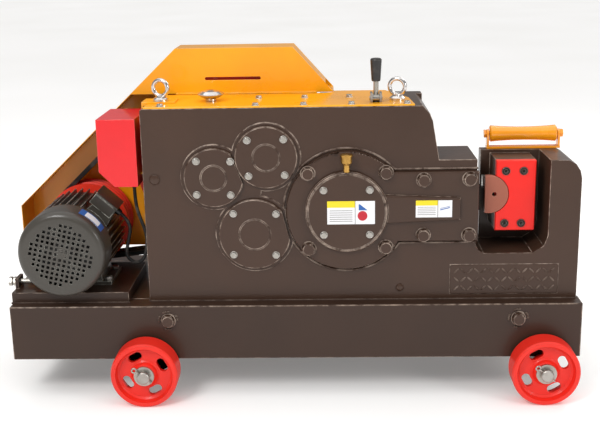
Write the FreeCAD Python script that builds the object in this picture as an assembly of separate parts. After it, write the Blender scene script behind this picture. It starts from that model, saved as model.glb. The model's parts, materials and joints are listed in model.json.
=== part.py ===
import FreeCAD, Part
import math
import os

# Bar cutter on a wheeled channel-section base. Millimetres, X along the base with
# the blades to the right, -Y is the operator's side, +Z up, ground at Z = 0.

V = FreeCAD.Vector
os.makedirs("parts", exist_ok=True)

# ---------------------------------------------------------------- driving sizes
# base frame, stood on four wheels
base_mid_x = 15.0            # stations along X are counted from the middle of the base
base_length = 1280.0
base_width = 400.0
base_bottom_z = 92.0
channel_height = 126.0
channel_flange = 53.0
channel_web = 6.0
channel_flange_t = 8.0
deck_t = 8.0

# wheels
wheel_d = 150.0
wheel_width = 54.0
wheel_gap = 6.0              # from the rail's face to the wheel
wheel_rim_t = 14.0
wheel_web_t = 10.0
wheel_hub_r = 26.0
wheel_stations = (-333.0, 554.0)
axle_journal_r = 14.0
axle_bar = 34.0

# gear case
case_front_y = -163.0
case_rear_y = 30.0
case_left = -328.0
case_right = 322.0
case_top_z = 656.0
case_wall = 19.0
case_floor = 10.0
side_wall = 18.0
clutch_bay_rear_y = 70.0
clutch_bay_left = 62.0
clutch_bay_right = 300.0
clutch_bay_bottom_z = 286.0

# ram guide housing, throat and blade post
guide_end = 405.0
guide_top_z = 537.0
throat_floor_z = 324.0
post_left = 430.0
post_column_left = 564.0
post_right = 633.0
post_top_z = 533.0
post_rear_y = -3.0
post_back_wall = 32.0
block_left = 452.0
block_right = 541.0
block_bottom_z = 367.0
block_top_z = 526.0
block_front_y = -112.0

# gear train: modules, tooth counts, faces and the directions of the centre lines
input_x, input_z = -171.0, 504.0
stage_module = (4.0, 5.0, 6.0)
stage_pinion = (14, 16, 16)
stage_wheel = (48, 54, 54)
stage_angle = (20.8, -99.5, 14.2)
stage_front_y = (-98.0, -138.0, -36.0)
stage_face = (22.0, 32.0, 40.0)
pressure_angle = 25.0
backlash = 0.30
run_fit = 0.05               # radial clearance of every running fit
body_gap = 0.30              # gap between pieces that move past each other

# shafts
shaft_r = (15.0, 20.0, 25.0)
shaft_rear_r = (20.0, 20.0, 25.0)
bearing_outer_r = (36.0, 40.0, 45.0)
bearing_rear_outer_r = (45.0, 40.0, 45.0)

# crankshaft and ram
throw = 22.0
crank_journal_r = 32.0
eccentric_r = 55.0
crank_gear_seat_r = 34.0
crank_spline_r = 30.0
crank_tail_r = 28.0
rod_front_y = -96.0
rod_t = 36.0
ram_rear_y = -52.0
ram_w = 52.0
ram_h = 56.0
ram_z = 436.0
ram_tail = 262.0
ram_nose = 424.0
wrist_x = 288.0
wrist_r = 11.0
liner_t = 6.0

# blades
blade_t = 24.0
blade_overlap = 2.0
fixed_edge = 430.0
fixed_blade_t = 20.0
holder_t = 18.0
bar_stop_r = 43.0
bar_stop_x = 437.0
bar_stop_z = 450.0
bar_stop_t = 12.0

# covers on the front
cover_t = 9.0
pad_t = 3.0
pad_margin = 7.0
shaft_cover_r = (66.0, 69.0, 80.0)
first_bolt_angle = (44.0, 46.0, 44.0)
guide_plate_t = 14.0
guide_plate_r = 133.0
guide_plate_end = 408.0
guide_plate_top_z = 513.0
guide_plate_bottom_z = 357.0
crank_cover_r = 91.0
crank_cover_t = 12.0
crank_opening_r = 98.0

# belt drive and guard
flywheel_r = 218.0
motor_pulley_r = 99.0
pulley_front_y = 62.0
pulley_width = 64.0
belt_count = 3
belt_pitch = 19.0
belt_top_w = 15.0
belt_h = 10.0
groove_depth = 12.0
groove_top_w = 17.0
guard_front_y = 46.0
guard_depth = 100.0
guard_t = 2.0
guard_top_z = 766.0
guard_left = -670.0
guard_right = 95.0

# motor
motor_x = -511.0
motor_z = 342.0
motor_front_y = -212.0
motor_rear_y = 44.0
motor_tube_r = 86.0
motor_fin_r = 97.0
cowl_r = 98.0
cowl_len = 74.0
cowl_t = 2.0
motor_base_left = -641.0
motor_base_right = -374.0
motor_base_front_y = -171.0
motor_base_rear_y = 60.0
motor_base_h = 24.0

# top fittings
sheet_t = 4.0
lever_x, lever_y = 186.0, -122.0
lever_pivot_z = 668.0
lever_arm = 56.0
lever_top_z = 755.0
lever_rod_r = 5.6
lever_end_r = 6.0
fork_z = lever_pivot_z - lever_arm
fork_bar_r = 8.0
eye_stations = ((-290.0, -96.0), (234.0, -96.0))
filler_x, filler_y = -181.0, -76.0

# switch box
box_left, box_right = -427.0, -341.0
box_front_y, box_rear_y = -155.0, 5.0
box_bottom_z, box_top_z = 482.0, 633.0
box_wall = 2.0

# ---------------------------------------------------------------- derived places
base_top_z = base_bottom_z + channel_height
half_base = base_width / 2
ram_front_y = ram_rear_y - ram_w

case_inner_front_y = case_front_y + case_wall
case_inner_rear_y = case_rear_y - case_wall
wheel_r = wheel_d / 2


def at(station):
    """X of a station that is counted from the middle of the base."""
    return base_mid_x + station


def step_out(x, z, distance, angle):
    turn = math.radians(angle)
    return (x + distance * math.cos(turn), z + distance * math.sin(turn))


centre_distance = [m * (p + w) / 2 for m, p, w in zip(stage_module, stage_pinion, stage_wheel)]
shaft_at = [(at(input_x), input_z)]
for stage in range(3):
    last_x, last_z = shaft_at[-1]
    shaft_at.append(step_out(last_x, last_z, centre_distance[stage], stage_angle[stage]))
crank_x, crank_z = shaft_at[3]


# ---------------------------------------------------------------- shape helpers
def box(x0, y0, z0, x1, y1, z1):
    return Part.makeBox(x1 - x0, y1 - y0, z1 - z0, V(x0, y0, z0))


def rod_x(y, z, r, x0, x1):
    return Part.makeCylinder(r, x1 - x0, V(x0, y, z), V(1, 0, 0))


def rod_y(x, z, r, y0, y1):
    return Part.makeCylinder(r, y1 - y0, V(x, y0, z), V(0, 1, 0))


def rod_z(x, y, r, z0, z1):
    return Part.makeCylinder(r, z1 - z0, V(x, y, z0), V(0, 0, 1))


def ring_y(x, z, r_out, r_in, y0, y1):
    return rod_y(x, z, r_out, y0, y1).cut(rod_y(x, z, r_in, y0 - 1, y1 + 1))


def prism_y(points, y0, y1):
    """Outline in X and Z, drawn from y0 to y1."""
    wire = Part.makePolygon([V(x, y0, z) for x, z in points] + [V(points[0][0], y0, points[0][1])])
    return Part.Face(wire).extrude(V(0, y1 - y0, 0))


def prism_x(points, x0, x1):
    """Outline in Y and Z, drawn from x0 to x1."""
    wire = Part.makePolygon([V(x0, y, z) for y, z in points] + [V(x0, points[0][0], points[0][1])])
    return Part.Face(wire).extrude(V(x1 - x0, 0, 0))


def prism_z(points, z0, z1):
    """Outline in X and Y, drawn from z0 to z1."""
    wire = Part.makePolygon([V(x, y, z0) for x, y in points] + [V(points[0][0], points[0][1], z0)])
    return Part.Face(wire).extrude(V(0, 0, z1 - z0))


def turned_y(x, z, profile):
    """Profile of (radius, y) points turned about the line through x, z along Y."""
    wire = Part.makePolygon([V(x + r, y, z) for r, y in profile] + [V(x + profile[0][0], profile[0][1], z)])
    return Part.Face(wire).revolve(V(x, 0, z), V(0, 1, 0), 360)


def turned_z(x, y, profile):
    """Profile of (radius, z) points turned about the upright line through x, y."""
    wire = Part.makePolygon([V(x + r, y, z) for r, z in profile] + [V(x + profile[0][0], y, profile[0][1])])
    return Part.Face(wire).revolve(V(x, y, 0), V(0, 0, 1), 360)


def turned_x(y, z, profile):
    """Profile of (radius, x) points turned about the line through y, z along X."""
    wire = Part.makePolygon([V(x, y, z + r) for r, x in profile] + [V(profile[0][1], y, z + profile[0][0])])
    return Part.Face(wire).revolve(V(0, y, z), V(1, 0, 0), 360)


def joined(shapes):
    whole = shapes[0].multiFuse(shapes[1:]) if len(shapes) > 1 else shapes[0]
    return whole.removeSplitter()


def hexagon_y(x, z, across_flats, y0, y1):
    corner = across_flats / math.sqrt(3)
    points = [step_out(x, z, corner, 60 * side) for side in range(6)]
    return prism_y(points, y0, y1)


def hexagon_z(x, y, across_flats, z0, z1):
    corner = across_flats / math.sqrt(3)
    points = [step_out(x, y, corner, 60 * side + 30) for side in range(6)]
    return prism_z(points, z0, z1)


def hexagon_x(y, z, across_flats, x0, x1):
    corner = across_flats / math.sqrt(3)
    points = [step_out(y, z, corner, 60 * side) for side in range(6)]
    return prism_x(points, x0, x1)


def hex_bolt_y(x, z, face_y, across_flats, head_h, shank_r, grip):
    """Bolt whose head stands on face_y towards the operator."""
    head = hexagon_y(x, z, across_flats, face_y - head_h, face_y)
    domed = head.common(turned_y(x, z, [(0, face_y - head_h), (across_flats * 0.47, face_y - head_h),
                                        (across_flats * 0.58, face_y - head_h * 0.7),
                                        (across_flats * 0.58, face_y), (0, face_y)]))
    return domed.fuse(rod_y(x, z, shank_r, face_y, face_y + grip)).removeSplitter()


def hex_bolt_z(x, y, face_z, across_flats, head_h, shank_r, grip):
    """Bolt whose head stands on face_z."""
    head = hexagon_z(x, y, across_flats, face_z, face_z + head_h)
    domed = head.common(turned_z(x, y, [(0, face_z), (across_flats * 0.58, face_z),
                                        (across_flats * 0.58, face_z + head_h * 0.7),
                                        (across_flats * 0.47, face_z + head_h), (0, face_z + head_h)]))
    return domed.fuse(rod_z(x, y, shank_r, face_z - grip, face_z)).removeSplitter()


def group(shapes):
    solids = []
    for shape in shapes:
        solids.extend(shape.Solids)
    return Part.makeCompound(solids)


def save(node, shape):
    solids = shape.Solids
    whole = solids[0] if len(solids) == 1 else Part.makeCompound(solids)
    whole.exportStep("parts/" + node + ".step")


# ---------------------------------------------------------------- gears
def gear(x, z, teeth, module, y0, y1, tooth_angle, bore_r):
    """Involute spur gear with one tooth's middle at tooth_angle degrees in the XZ plane."""
    pitch_r = module * teeth / 2
    base_r = pitch_r * math.cos(math.radians(pressure_angle))
    tip_r = pitch_r + module
    root_r = pitch_r - 1.25 * module
    lift = math.tan(math.radians(pressure_angle)) - math.radians(pressure_angle)
    half_tooth = math.pi / (2 * teeth) - backlash / (4 * pitch_r)
    start_r = max(base_r, root_r)
    flank = []
    for step in range(6):
        r = start_r + (tip_r - start_r) * step / 5
        roll = math.acos(min(1.0, base_r / r))
        flank.append((r, half_tooth + lift - (math.tan(roll) - roll)))
    if root_r < base_r:
        flank.insert(0, (root_r, flank[0][1]))
    outline = []
    for tooth in range(teeth):
        middle = math.radians(tooth_angle) + 2 * math.pi * tooth / teeth
        for r, half in flank:
            outline.append((x + r * math.cos(middle - half), z + r * math.sin(middle - half)))
        for r, half in reversed(flank):
            outline.append((x + r * math.cos(middle + half), z + r * math.sin(middle + half)))
    solid = prism_y(outline, y0, y1)
    return solid.cut(rod_y(x, z, bore_r, y0 - 1, y1 + 1)) if bore_r else solid


def pinion_angle(stage):
    return stage_angle[stage]


def wheel_angle(stage):
    return stage_angle[stage] + 180 + 180.0 / stage_wheel[stage]


def lightened(solid, x, z, teeth, module, y0, y1, hub_r):
    """Recess both faces of a large gear between its hub and its rim."""
    rim_r = module * teeth / 2 - 3.2 * module
    depth = (y1 - y0) * 0.25
    for face_y in (y0 - 1, y1 - depth):
        solid = solid.cut(ring_y(x, z, rim_r, hub_r, face_y, face_y + depth + 1))
    return solid


# ---------------------------------------------------------------- base and wheels
def channel(x0, x1, outer_y, side):
    """Channel rail along X. side is +1 when its flanges point to +Y."""
    inner_y = outer_y + side * channel_flange
    web_y = outer_y + side * channel_web
    points = [(outer_y, base_bottom_z), (inner_y, base_bottom_z),
              (inner_y, base_bottom_z + channel_flange_t), (web_y, base_bottom_z + channel_flange_t),
              (web_y, base_top_z - channel_flange_t), (inner_y, base_top_z - channel_flange_t),
              (inner_y, base_top_z), (outer_y, base_top_z)]
    return prism_x(points, x0, x1)


def cross_channel(outer_x, side):
    """Channel between the rails. side is +1 when its flanges point to +X."""
    y1 = half_base - channel_flange
    web = box(min(outer_x, outer_x + side * channel_web), -y1, base_bottom_z,
              max(outer_x, outer_x + side * channel_web), y1, base_top_z - deck_t)
    flange_x = sorted((outer_x, outer_x + side * channel_flange))
    low = box(flange_x[0], -y1, base_bottom_z, flange_x[1], y1, base_bottom_z + channel_flange_t)
    return joined([web, low])


big_bolt_flats, big_bolt_head, big_bolt_r = 26.0, 13.0, 8.0
bolt_stations = (-282.0, 499.0)
rail_bolt_z = 184.0


def rail_bolts():
    bolts = []
    for station in bolt_stations:
        bolts.append(hex_bolt_y(at(station), rail_bolt_z, -half_base, big_bolt_flats, big_bolt_head,
                                big_bolt_r, channel_web + 14))
    return bolts


def make_base():
    left, right = at(-base_length / 2), at(base_length / 2)
    front = channel(left, right, -half_base, 1)
    for station in bolt_stations:
        front = front.cut(rod_y(at(station), rail_bolt_z, big_bolt_r, -half_base - 1,
                                -half_base + channel_web + 1))
    rear = channel(left, right, half_base, -1)
    crosses = [cross_channel(left + channel_web, 1), cross_channel(right - channel_web, -1)]
    crosses += [cross_channel(at(station), 1) for station in (-200.0, 180.0)]
    y1 = half_base - channel_flange
    deck = box(left + channel_web, -y1, base_top_z - deck_t, right - channel_web, y1, base_top_z)
    save("base_frame", group([front, rear, deck] + crosses))


wheel_outer_y = half_base + wheel_gap + wheel_width


def cast_wheel(x, outer_y):
    """Cast wheel seen with its outer face at outer_y, on the -Y or +Y side."""
    side = 1 if outer_y > 0 else -1
    inner_y = outer_y - side * wheel_width
    rim_in = wheel_r - wheel_rim_t
    web_a = outer_y - side * (wheel_width - wheel_web_t) * 0.38
    web_b = web_a - side * wheel_web_t
    profile = [(axle_journal_r + run_fit, outer_y - side * 4), (wheel_hub_r - 3, outer_y - side * 4),
               (wheel_hub_r, outer_y - side * 8), (wheel_hub_r + 2, web_a - side * -3),
               (wheel_hub_r + 6, web_a), (rim_in - 5, web_a), (rim_in, web_a + side * 4),
               (rim_in + 3, outer_y), (wheel_r - 3, outer_y), (wheel_r, outer_y - side * 4),
               (wheel_r, inner_y + side * 4), (wheel_r - 3, inner_y), (rim_in + 3, inner_y),
               (rim_in, web_b - side * 4), (rim_in - 5, web_b), (wheel_hub_r + 4, web_b),
               (wheel_hub_r, inner_y), (axle_journal_r + run_fit, inner_y)]
    solid = turned_y(x, wheel_r, profile)
    hole_ring = (wheel_hub_r + rim_in) / 2 + 1
    for turn in (28, 118, 208, 298):
        low = step_out(x, wheel_r, hole_ring, turn - 9)
        high = step_out(x, wheel_r, hole_ring, turn + 9)
        y_range = sorted((outer_y, inner_y))
        slot = joined([rod_y(low[0], low[1], 9, *y_range), rod_y(high[0], high[1], 9, *y_range)])
        solid = solid.cut(slot)
    return solid


def make_wheels():
    names = {-1: "front", 1: "rear"}
    axles, washers, pins = [], [], []
    for station, end in zip(wheel_stations, ("left", "right")):
        x = at(station)
        axle_end = wheel_outer_y + 14
        bar = box(x - axle_bar / 2, -half_base, base_bottom_z - axle_bar, x + axle_bar / 2, half_base,
                  base_bottom_z)
        journal = rod_y(x, wheel_r, axle_journal_r, -axle_end, axle_end)
        journal = journal.makeChamfer(2, [e for e in journal.Edges if len(e.Vertexes) == 1 or e.Closed][:2])
        axle = joined([bar, journal])
        for side in (-1, 1):
            outer_y = side * wheel_outer_y
            save("wheel_" + names[side] + "_" + end, cast_wheel(x, outer_y))
            washer_y = sorted((outer_y - side * 3.4, outer_y + side * 0.6))
            washers.append(ring_y(x, wheel_r, 22.5, axle_journal_r, *washer_y))
            pin_y = outer_y + side * 6
            stem = Part.makeCylinder(2.0, 44, V(x - 17, pin_y, wheel_r + 14), V(0.77, 0, -0.64))
            eye = Part.makeTorus(5.0, 2.0, V(x - 20, pin_y, wheel_r + 16.5), V(0, 1, 0))
            pin = joined([stem, eye])
            axle = axle.cut(stem)
            pins.append(pin)
        axles.append(axle)
    save("wheel_axles", group(axles))
    save("wheel_retainers", group(washers + pins))


# ---------------------------------------------------------------- covers and their bolts
def cover_bolt_places():
    """Small bolts: (x, z, face y) round each shaft cover and the crank cover."""
    places = []
    for (x, z), r, first in zip(shaft_at[:3], shaft_cover_r, first_bolt_angle):
        for turn in range(4):
            bx, bz = step_out(x, z, (r - 12) * 0.98, first + 90 * turn)
            places.append((bx, bz, case_front_y - pad_t - cover_t))
    for turn in range(4):
        bx, bz = step_out(crank_x, crank_z, crank_cover_r - 20, 45 + 90 * turn)
        places.append((bx, bz, case_front_y - guide_plate_t - crank_cover_t))
    return places


cover_bolt_r = 4.0
guide_grip = guide_plate_t + case_wall - 2


def guide_bolt_places():
    near, far = 168.0, 268.0
    return [(crank_x - 84, crank_z + 86), (crank_x + 86, crank_z + 86), (crank_x + near, crank_z + 69),
            (crank_x + far, crank_z + 70), (crank_x - 84, crank_z - 84), (crank_x + 86, crank_z - 82),
            (crank_x + near, crank_z - 55), (crank_x + far, crank_z - 56)]


def shaft_cover(index):
    x, z = shaft_at[index]
    r = shaft_cover_r[index]
    y0 = case_front_y - pad_t - cover_t
    disc = turned_y(x, z, [(0, y0), (r - 2, y0), (r, y0 + 2), (r, y0 + cover_t), (0, y0 + cover_t)])
    boss = ring_y(x, z, r * 0.45, r * 0.45 - 3, y0 - 0.8, y0 + 1)
    disc = joined([disc, boss])
    flat = {0: (stage_angle[0], 55.0), 2: (stage_angle[2], 72.0)}.get(index)
    if flat:
        turn, distance = flat
        cutter = box(distance, y0 - 5, -2 * r, distance + r, y0 + cover_t + 5, 2 * r)
        cutter.rotate(V(0, 0, 0), V(0, 1, 0), -turn)
        cutter.translate(V(x, 0, z))
        disc = disc.cut(cutter)
    return disc


def guide_outline_plate(y0, y1, margin):
    """Plate over the crank and the ram guide, grown by margin."""
    disc = rod_y(crank_x, crank_z, guide_plate_r + margin, y0, y1)
    arm = box(crank_x, y0, guide_plate_bottom_z - margin, at(guide_plate_end), y1, guide_plate_top_z + margin)
    return joined([disc, arm])


def make_covers():
    holes = [rod_y(x, z, cover_bolt_r, y, y + 32) for x, z, y in cover_bolt_places()]
    covers = [shaft_cover(index) for index in range(3)]
    covers = [cover.cut(Part.makeCompound(holes[start:start + 4])) for cover, start in zip(covers, (0, 4, 8))]

    y0, y1 = case_front_y - guide_plate_t, case_front_y
    plate = guide_outline_plate(y0, y1, 0)
    edges = [e for e in plate.Edges if abs(e.BoundBox.YMin - y0) < 1e-6 and abs(e.BoundBox.YMax - y0) < 1e-6]
    plate = plate.makeFillet(3.0, edges)
    rib = prism_y([(crank_x + 60, crank_z - 28), (at(368), crank_z - 20), (at(368), crank_z + 29),
                   (crank_x + 60, crank_z + 38)], y0 - 9, y0 + 1)
    rib = rib.makeFillet(4.0, [e for e in rib.Edges if abs(e.BoundBox.YMax - (y0 - 9)) < 1e-6])
    neck = ring_y(crank_x, crank_z, crank_opening_r - 2, crank_journal_r + 13, y1 - 1, y1 + 10)
    boss = ring_y(crank_x, crank_z, 60, crank_journal_r + 13, y1 - 1, case_inner_front_y)
    plate = joined([plate, rib, neck, boss])
    plate = plate.cut(rod_y(crank_x, crank_z, crank_journal_r + 13, y0 - 20, y1 + 1))
    plate = plate.cut(rod_y(crank_x, crank_z, crank_cover_r + 0.5, y0 - 20, y0))
    for x, z in guide_bolt_places():
        plate = plate.cut(rod_y(x, z, big_bolt_r, y0 - 1, y1 + 1))
    for x, z, y in cover_bolt_places()[12:]:
        plate = plate.cut(rod_y(x, z, cover_bolt_r, y, y + 26))
    save("guide_cover", plate)
    guide_bolts = [hex_bolt_y(x, z, y0, big_bolt_flats, big_bolt_head, big_bolt_r, guide_grip)
                   for x, z in guide_bolt_places()]
    save("frame_bolts", group(guide_bolts + rail_bolts()))

    c0 = y0 - crank_cover_t
    disc = turned_y(crank_x, crank_z, [(0, c0), (crank_cover_r - 3, c0), (crank_cover_r, c0 + 3),
                                       (crank_cover_r, y0), (0, y0)])
    groove = ring_y(crank_x, crank_z, crank_cover_r - 5, crank_cover_r - 7, c0 - 1, c0 + 1)
    disc = disc.cut(groove)
    for x, z, y in cover_bolt_places()[12:]:
        disc = disc.cut(rod_y(x, z, cover_bolt_r, y - 1, y + 26))
    save("shaft_covers", group(covers + [disc]))


# ---------------------------------------------------------------- gear case casting
def case_outline():
    left, right, top = at(case_left), at(case_right), case_top_z
    return [(left, base_top_z), (right, base_top_z), (right, guide_top_z), (right - 15, top - 34),
            (right - 21, top - 18), (right - 37, top), (left + 4, top), (left, top - 4)]


def case_hollow_outline():
    left, right, top = at(case_left) + side_wall, at(case_right) - side_wall, case_top_z
    return [(left, base_top_z + case_floor), (right, base_top_z + case_floor), (right, guide_top_z - 12),
            (right - 15, top - 62), (right - 60, top - 24), (at(206), top - 24), (at(206), top + 5), (left,
                                                                                                      top + 5)]


ram_channel = liner_t + run_fit
guide_block_margin = 18.0    # how far the solid round the ram stops inside the guide housing
guide_block_wall = 12.0


def ram_guide_block(x0, x1):
    """Solid round the ram inside the case."""
    return box(x0, case_inner_front_y - 1, guide_plate_bottom_z + guide_block_margin,
               x1, ram_rear_y + guide_block_wall, guide_plate_top_z - guide_block_margin)


def make_casting():
    front, rear = case_front_y, case_rear_y
    case = prism_y(case_outline(), front, rear)
    bay = box(at(clutch_bay_left), rear - 1, clutch_bay_bottom_z, at(clutch_bay_right), clutch_bay_rear_y,
              case_top_z)
    guide = box(at(case_right) - 2, front, base_top_z, at(guide_end), post_rear_y, guide_top_z)
    sill = box(at(guide_end) - 2, front, base_top_z, at(post_right), post_rear_y, throat_floor_z)
    toe = prism_y([(at(guide_end) - 1, throat_floor_z - 1), (at(guide_end) + 20, throat_floor_z - 1),
                   (at(guide_end) + 6, throat_floor_z + 8), (at(guide_end) - 1,
                                                             throat_floor_z + 24)], front, post_rear_y)
    column = prism_y([(at(post_column_left), throat_floor_z - 1), (at(post_right), throat_floor_z - 1),
                      (at(post_right), post_top_z - 42), (at(post_right) - 4, post_top_z - 24),
                      (at(post_right) - 14, post_top_z - 9), (at(post_right) - 31, post_top_z),
                      (at(post_column_left), post_top_z)], front, post_rear_y)
    heel = prism_y([(at(post_column_left) - 34, throat_floor_z - 1), (at(post_column_left) + 1,
                                                                      throat_floor_z - 1),
                    (at(post_column_left) + 1, throat_floor_z + 42), (at(post_column_left) - 8,
                                                                      throat_floor_z + 16)],
                   front, post_rear_y)
    back = box(at(post_left), post_rear_y - post_back_wall, throat_floor_z - 1,
               at(post_column_left) + 1, post_rear_y, post_top_z)
    block = box(at(block_left), block_front_y, block_bottom_z, at(block_right),
                post_rear_y - post_back_wall + 1, block_top_z)
    shape = joined([case, bay, guide, sill, toe, column, heel, back, block])

    hollow = prism_y(case_hollow_outline(), case_inner_front_y, case_inner_rear_y)
    hollow = hollow.cut(ram_guide_block(at(236), at(330)))
    tie = box(at(case_left), -52, case_top_z - 22, at(case_right), -32, case_top_z + 6)
    fork_boss = box(at(lever_x) - 15, -52, fork_z - 15, at(lever_x) + 15, -32, case_top_z - 21)
    fork_boss = fork_boss.cut(rod_y(at(lever_x), fork_z, fork_bar_r + run_fit, -60, -20))
    eye_boss = box(at(case_left), -116, case_top_z - 26, at(-266), -76, case_top_z + 6)
    hollow = hollow.cut(joined([tie, fork_boss])).cut(eye_boss)
    bay_hollow = box(at(clutch_bay_left) + 8, case_inner_rear_y - 1, clutch_bay_bottom_z + 16,
                     at(clutch_bay_right) - 16, clutch_bay_rear_y - 14, case_top_z - 24)
    shape = shape.cut(hollow).cut(bay_hollow)

    liner_front_y = ram_front_y - ram_channel
    liner_rear_y = ram_rear_y + ram_channel
    channel_box = box(at(230), liner_front_y, ram_z - ram_h / 2 - ram_channel, at(guide_end) + 2,
                      liner_rear_y, ram_z + ram_h / 2 + ram_channel)
    shape = shape.cut(channel_box)
    shape = shape.cut(rod_y(crank_x, crank_z, crank_opening_r, front - 10, case_inner_front_y + 1))

    pads = [rod_y(x, z, r + pad_margin, front - pad_t, front) for (x, z), r in zip(shaft_at[:3],
                                                                                   shaft_cover_r)]
    fillet_pad = prism_y([shaft_at[0], shaft_at[1], shaft_at[2]], front - pad_t, front)
    pad = joined(pads + [fillet_pad]).cut(guide_outline_plate(front - pad_t - 1, front, 1.0))
    shape = joined([shape, pad])
    for index in range(3):
        x, z = shaft_at[index]
        shape = shape.cut(rod_y(x, z, bearing_outer_r[index], front - pad_t - 1, case_inner_front_y + 1))
        shape = shape.cut(rod_y(x, z, bearing_rear_outer_r[index], case_inner_rear_y - 1, rear + 1))
    shape = shape.cut(rod_y(crank_x, crank_z, crank_tail_r + 10, clutch_bay_rear_y - 15,
                            clutch_bay_rear_y + 1))

    panel = box(at(350), front - 2, base_top_z + 12, at(590), front + 1, throat_floor_z - 26)
    panel = panel.makeFillet(1.6, [e for e in panel.Edges if abs(e.BoundBox.YMax - (front - 2)) < 1e-6])
    shape = joined([shape, panel])

    for x, z, y in cover_bolt_places()[:12]:
        shape = shape.cut(rod_y(x, z, cover_bolt_r, y, y + 26))
    for x, z in guide_bolt_places():
        shape = shape.cut(rod_y(x, z, big_bolt_r, front - 1, front - guide_plate_t + guide_grip))
    for x, y in top_bolt_places():
        shape = shape.cut(rod_z(x, y, top_bolt_r, case_top_z - 16, case_top_z + 1))
    for x, y in eye_places():
        shape = shape.cut(rod_z(x, y, eye_shank_r, case_top_z - 20, case_top_z + 1))
    for x, z in holder_screw_places():
        shape = shape.cut(rod_y(x, z, holder_screw_r, block_front_y - 1, block_front_y + 24))
    shape = shape.cut(fixed_blade_solid())
    save("main_casting", shape)


# ---------------------------------------------------------------- top cover and fittings
top_bolt_r = 4.0
eye_shank_r = 8.0


def top_bolt_places():
    front = [(at(x), case_front_y + 10) for x in (-284.0, -76.0, 28.0, 132.0, 252.0)]
    middle = [(at(x), -42.0) for x in (-76.0, 28.0, 129.0)]
    return front + middle


def eye_places():
    return [(at(x), y) for x, y in eye_stations]


def make_top():
    z0, z1 = case_top_z, case_top_z + sheet_t
    left = at(case_left) + 8
    outline = [(left, case_front_y + 1), (at(268), case_front_y + 1), (at(262), -60), (at(216),
                                                                                       clutch_bay_rear_y - 2),
               (at(clutch_bay_left) + 30, clutch_bay_rear_y - 2), (at(clutch_bay_left) + 30,
                                                                   guard_front_y - 1),
               (at(clutch_bay_left) + 10, case_rear_y), (left, case_rear_y)]
    sheet = prism_z(outline, z0, z1)
    for x, y in top_bolt_places():
        sheet = sheet.cut(rod_z(x, y, top_bolt_r, z0 - 1, z1 + 1))
    for x, y in eye_places():
        sheet = sheet.cut(rod_z(x, y, eye_shank_r, z0 - 1, z1 + 1))
    sheet = sheet.cut(rod_z(at(filler_x), filler_y, 9, z0 - 1, z1 + 1))
    sheet = sheet.cut(box(at(lever_x) - 8, lever_y - 12, z0 - 1, at(lever_x) + 8, lever_y + 12, z1 + 1))
    save("top_cover", sheet)
    bolts = [hex_bolt_z(x, y, z1, 13, 6, top_bolt_r, sheet_t + 14) for x, y in top_bolt_places()]
    bolts += [hex_bolt_y(x, z, y, 13, 6, cover_bolt_r, 26) for x, z, y in cover_bolt_places()]
    save("cover_bolts", group(bolts))

    eyes = []
    for (x, y), foot in zip(eye_places(), (z1 + sheet_t, z1)):
        collar = turned_z(x, y, [(0, foot), (17, foot), (17, foot + 5), (12, foot + 9), (0, foot + 9)])
        ring = Part.makeTorus(17.5, 4.6, V(x, y, foot + 29), V(0.35, 1, 0))
        neck = rod_z(x, y, 6, foot + 6, foot + 14)
        shank = rod_z(x, y, eye_shank_r, case_top_z - 20, foot)
        eyes.append(joined([collar, ring, neck, shank]))
    save("eye_bolts", group(eyes))

    x, y = at(filler_x), filler_y
    cap = turned_z(x, y, [(0, z1 + 1), (12, z1 + 1), (12, z1 + 5), (24, z1 + 10), (30, z1 + 15), (30,
                                                                                                  z1 + 17),
                          (20, z1 + 22), (8, z1 + 25), (0, z1 + 25)])
    stem = rod_z(x, y, 9 - run_fit, z1 - 14, z1 + 2)
    save("filler_cap", joined([cap, stem]))


def bracket_solid():
    """Strap from the top of the case down its left side to the switch box."""
    x_side = at(case_left)
    y0, y1 = -112.0, -52.0
    top = box(x_side - 3, y0, case_top_z + sheet_t, x_side + 70, y1, case_top_z + 2 * sheet_t)
    shim = box(x_side - 3, y0, case_top_z, x_side + 7.5, y1, case_top_z + sheet_t + 1)
    down = box(x_side - 4, y0, box_bottom_z + 20, x_side, y1, case_top_z + 2 * sheet_t)
    arm = box(at(box_right), y0, box_bottom_z + 20, x_side, y1, box_bottom_z + 24)
    solid = joined([top, shim, down, arm])
    for x, y in eye_places():
        solid = solid.cut(rod_z(x, y, eye_shank_r, case_top_z - 1, case_top_z + 2 * sheet_t + 1))
    return solid


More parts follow.
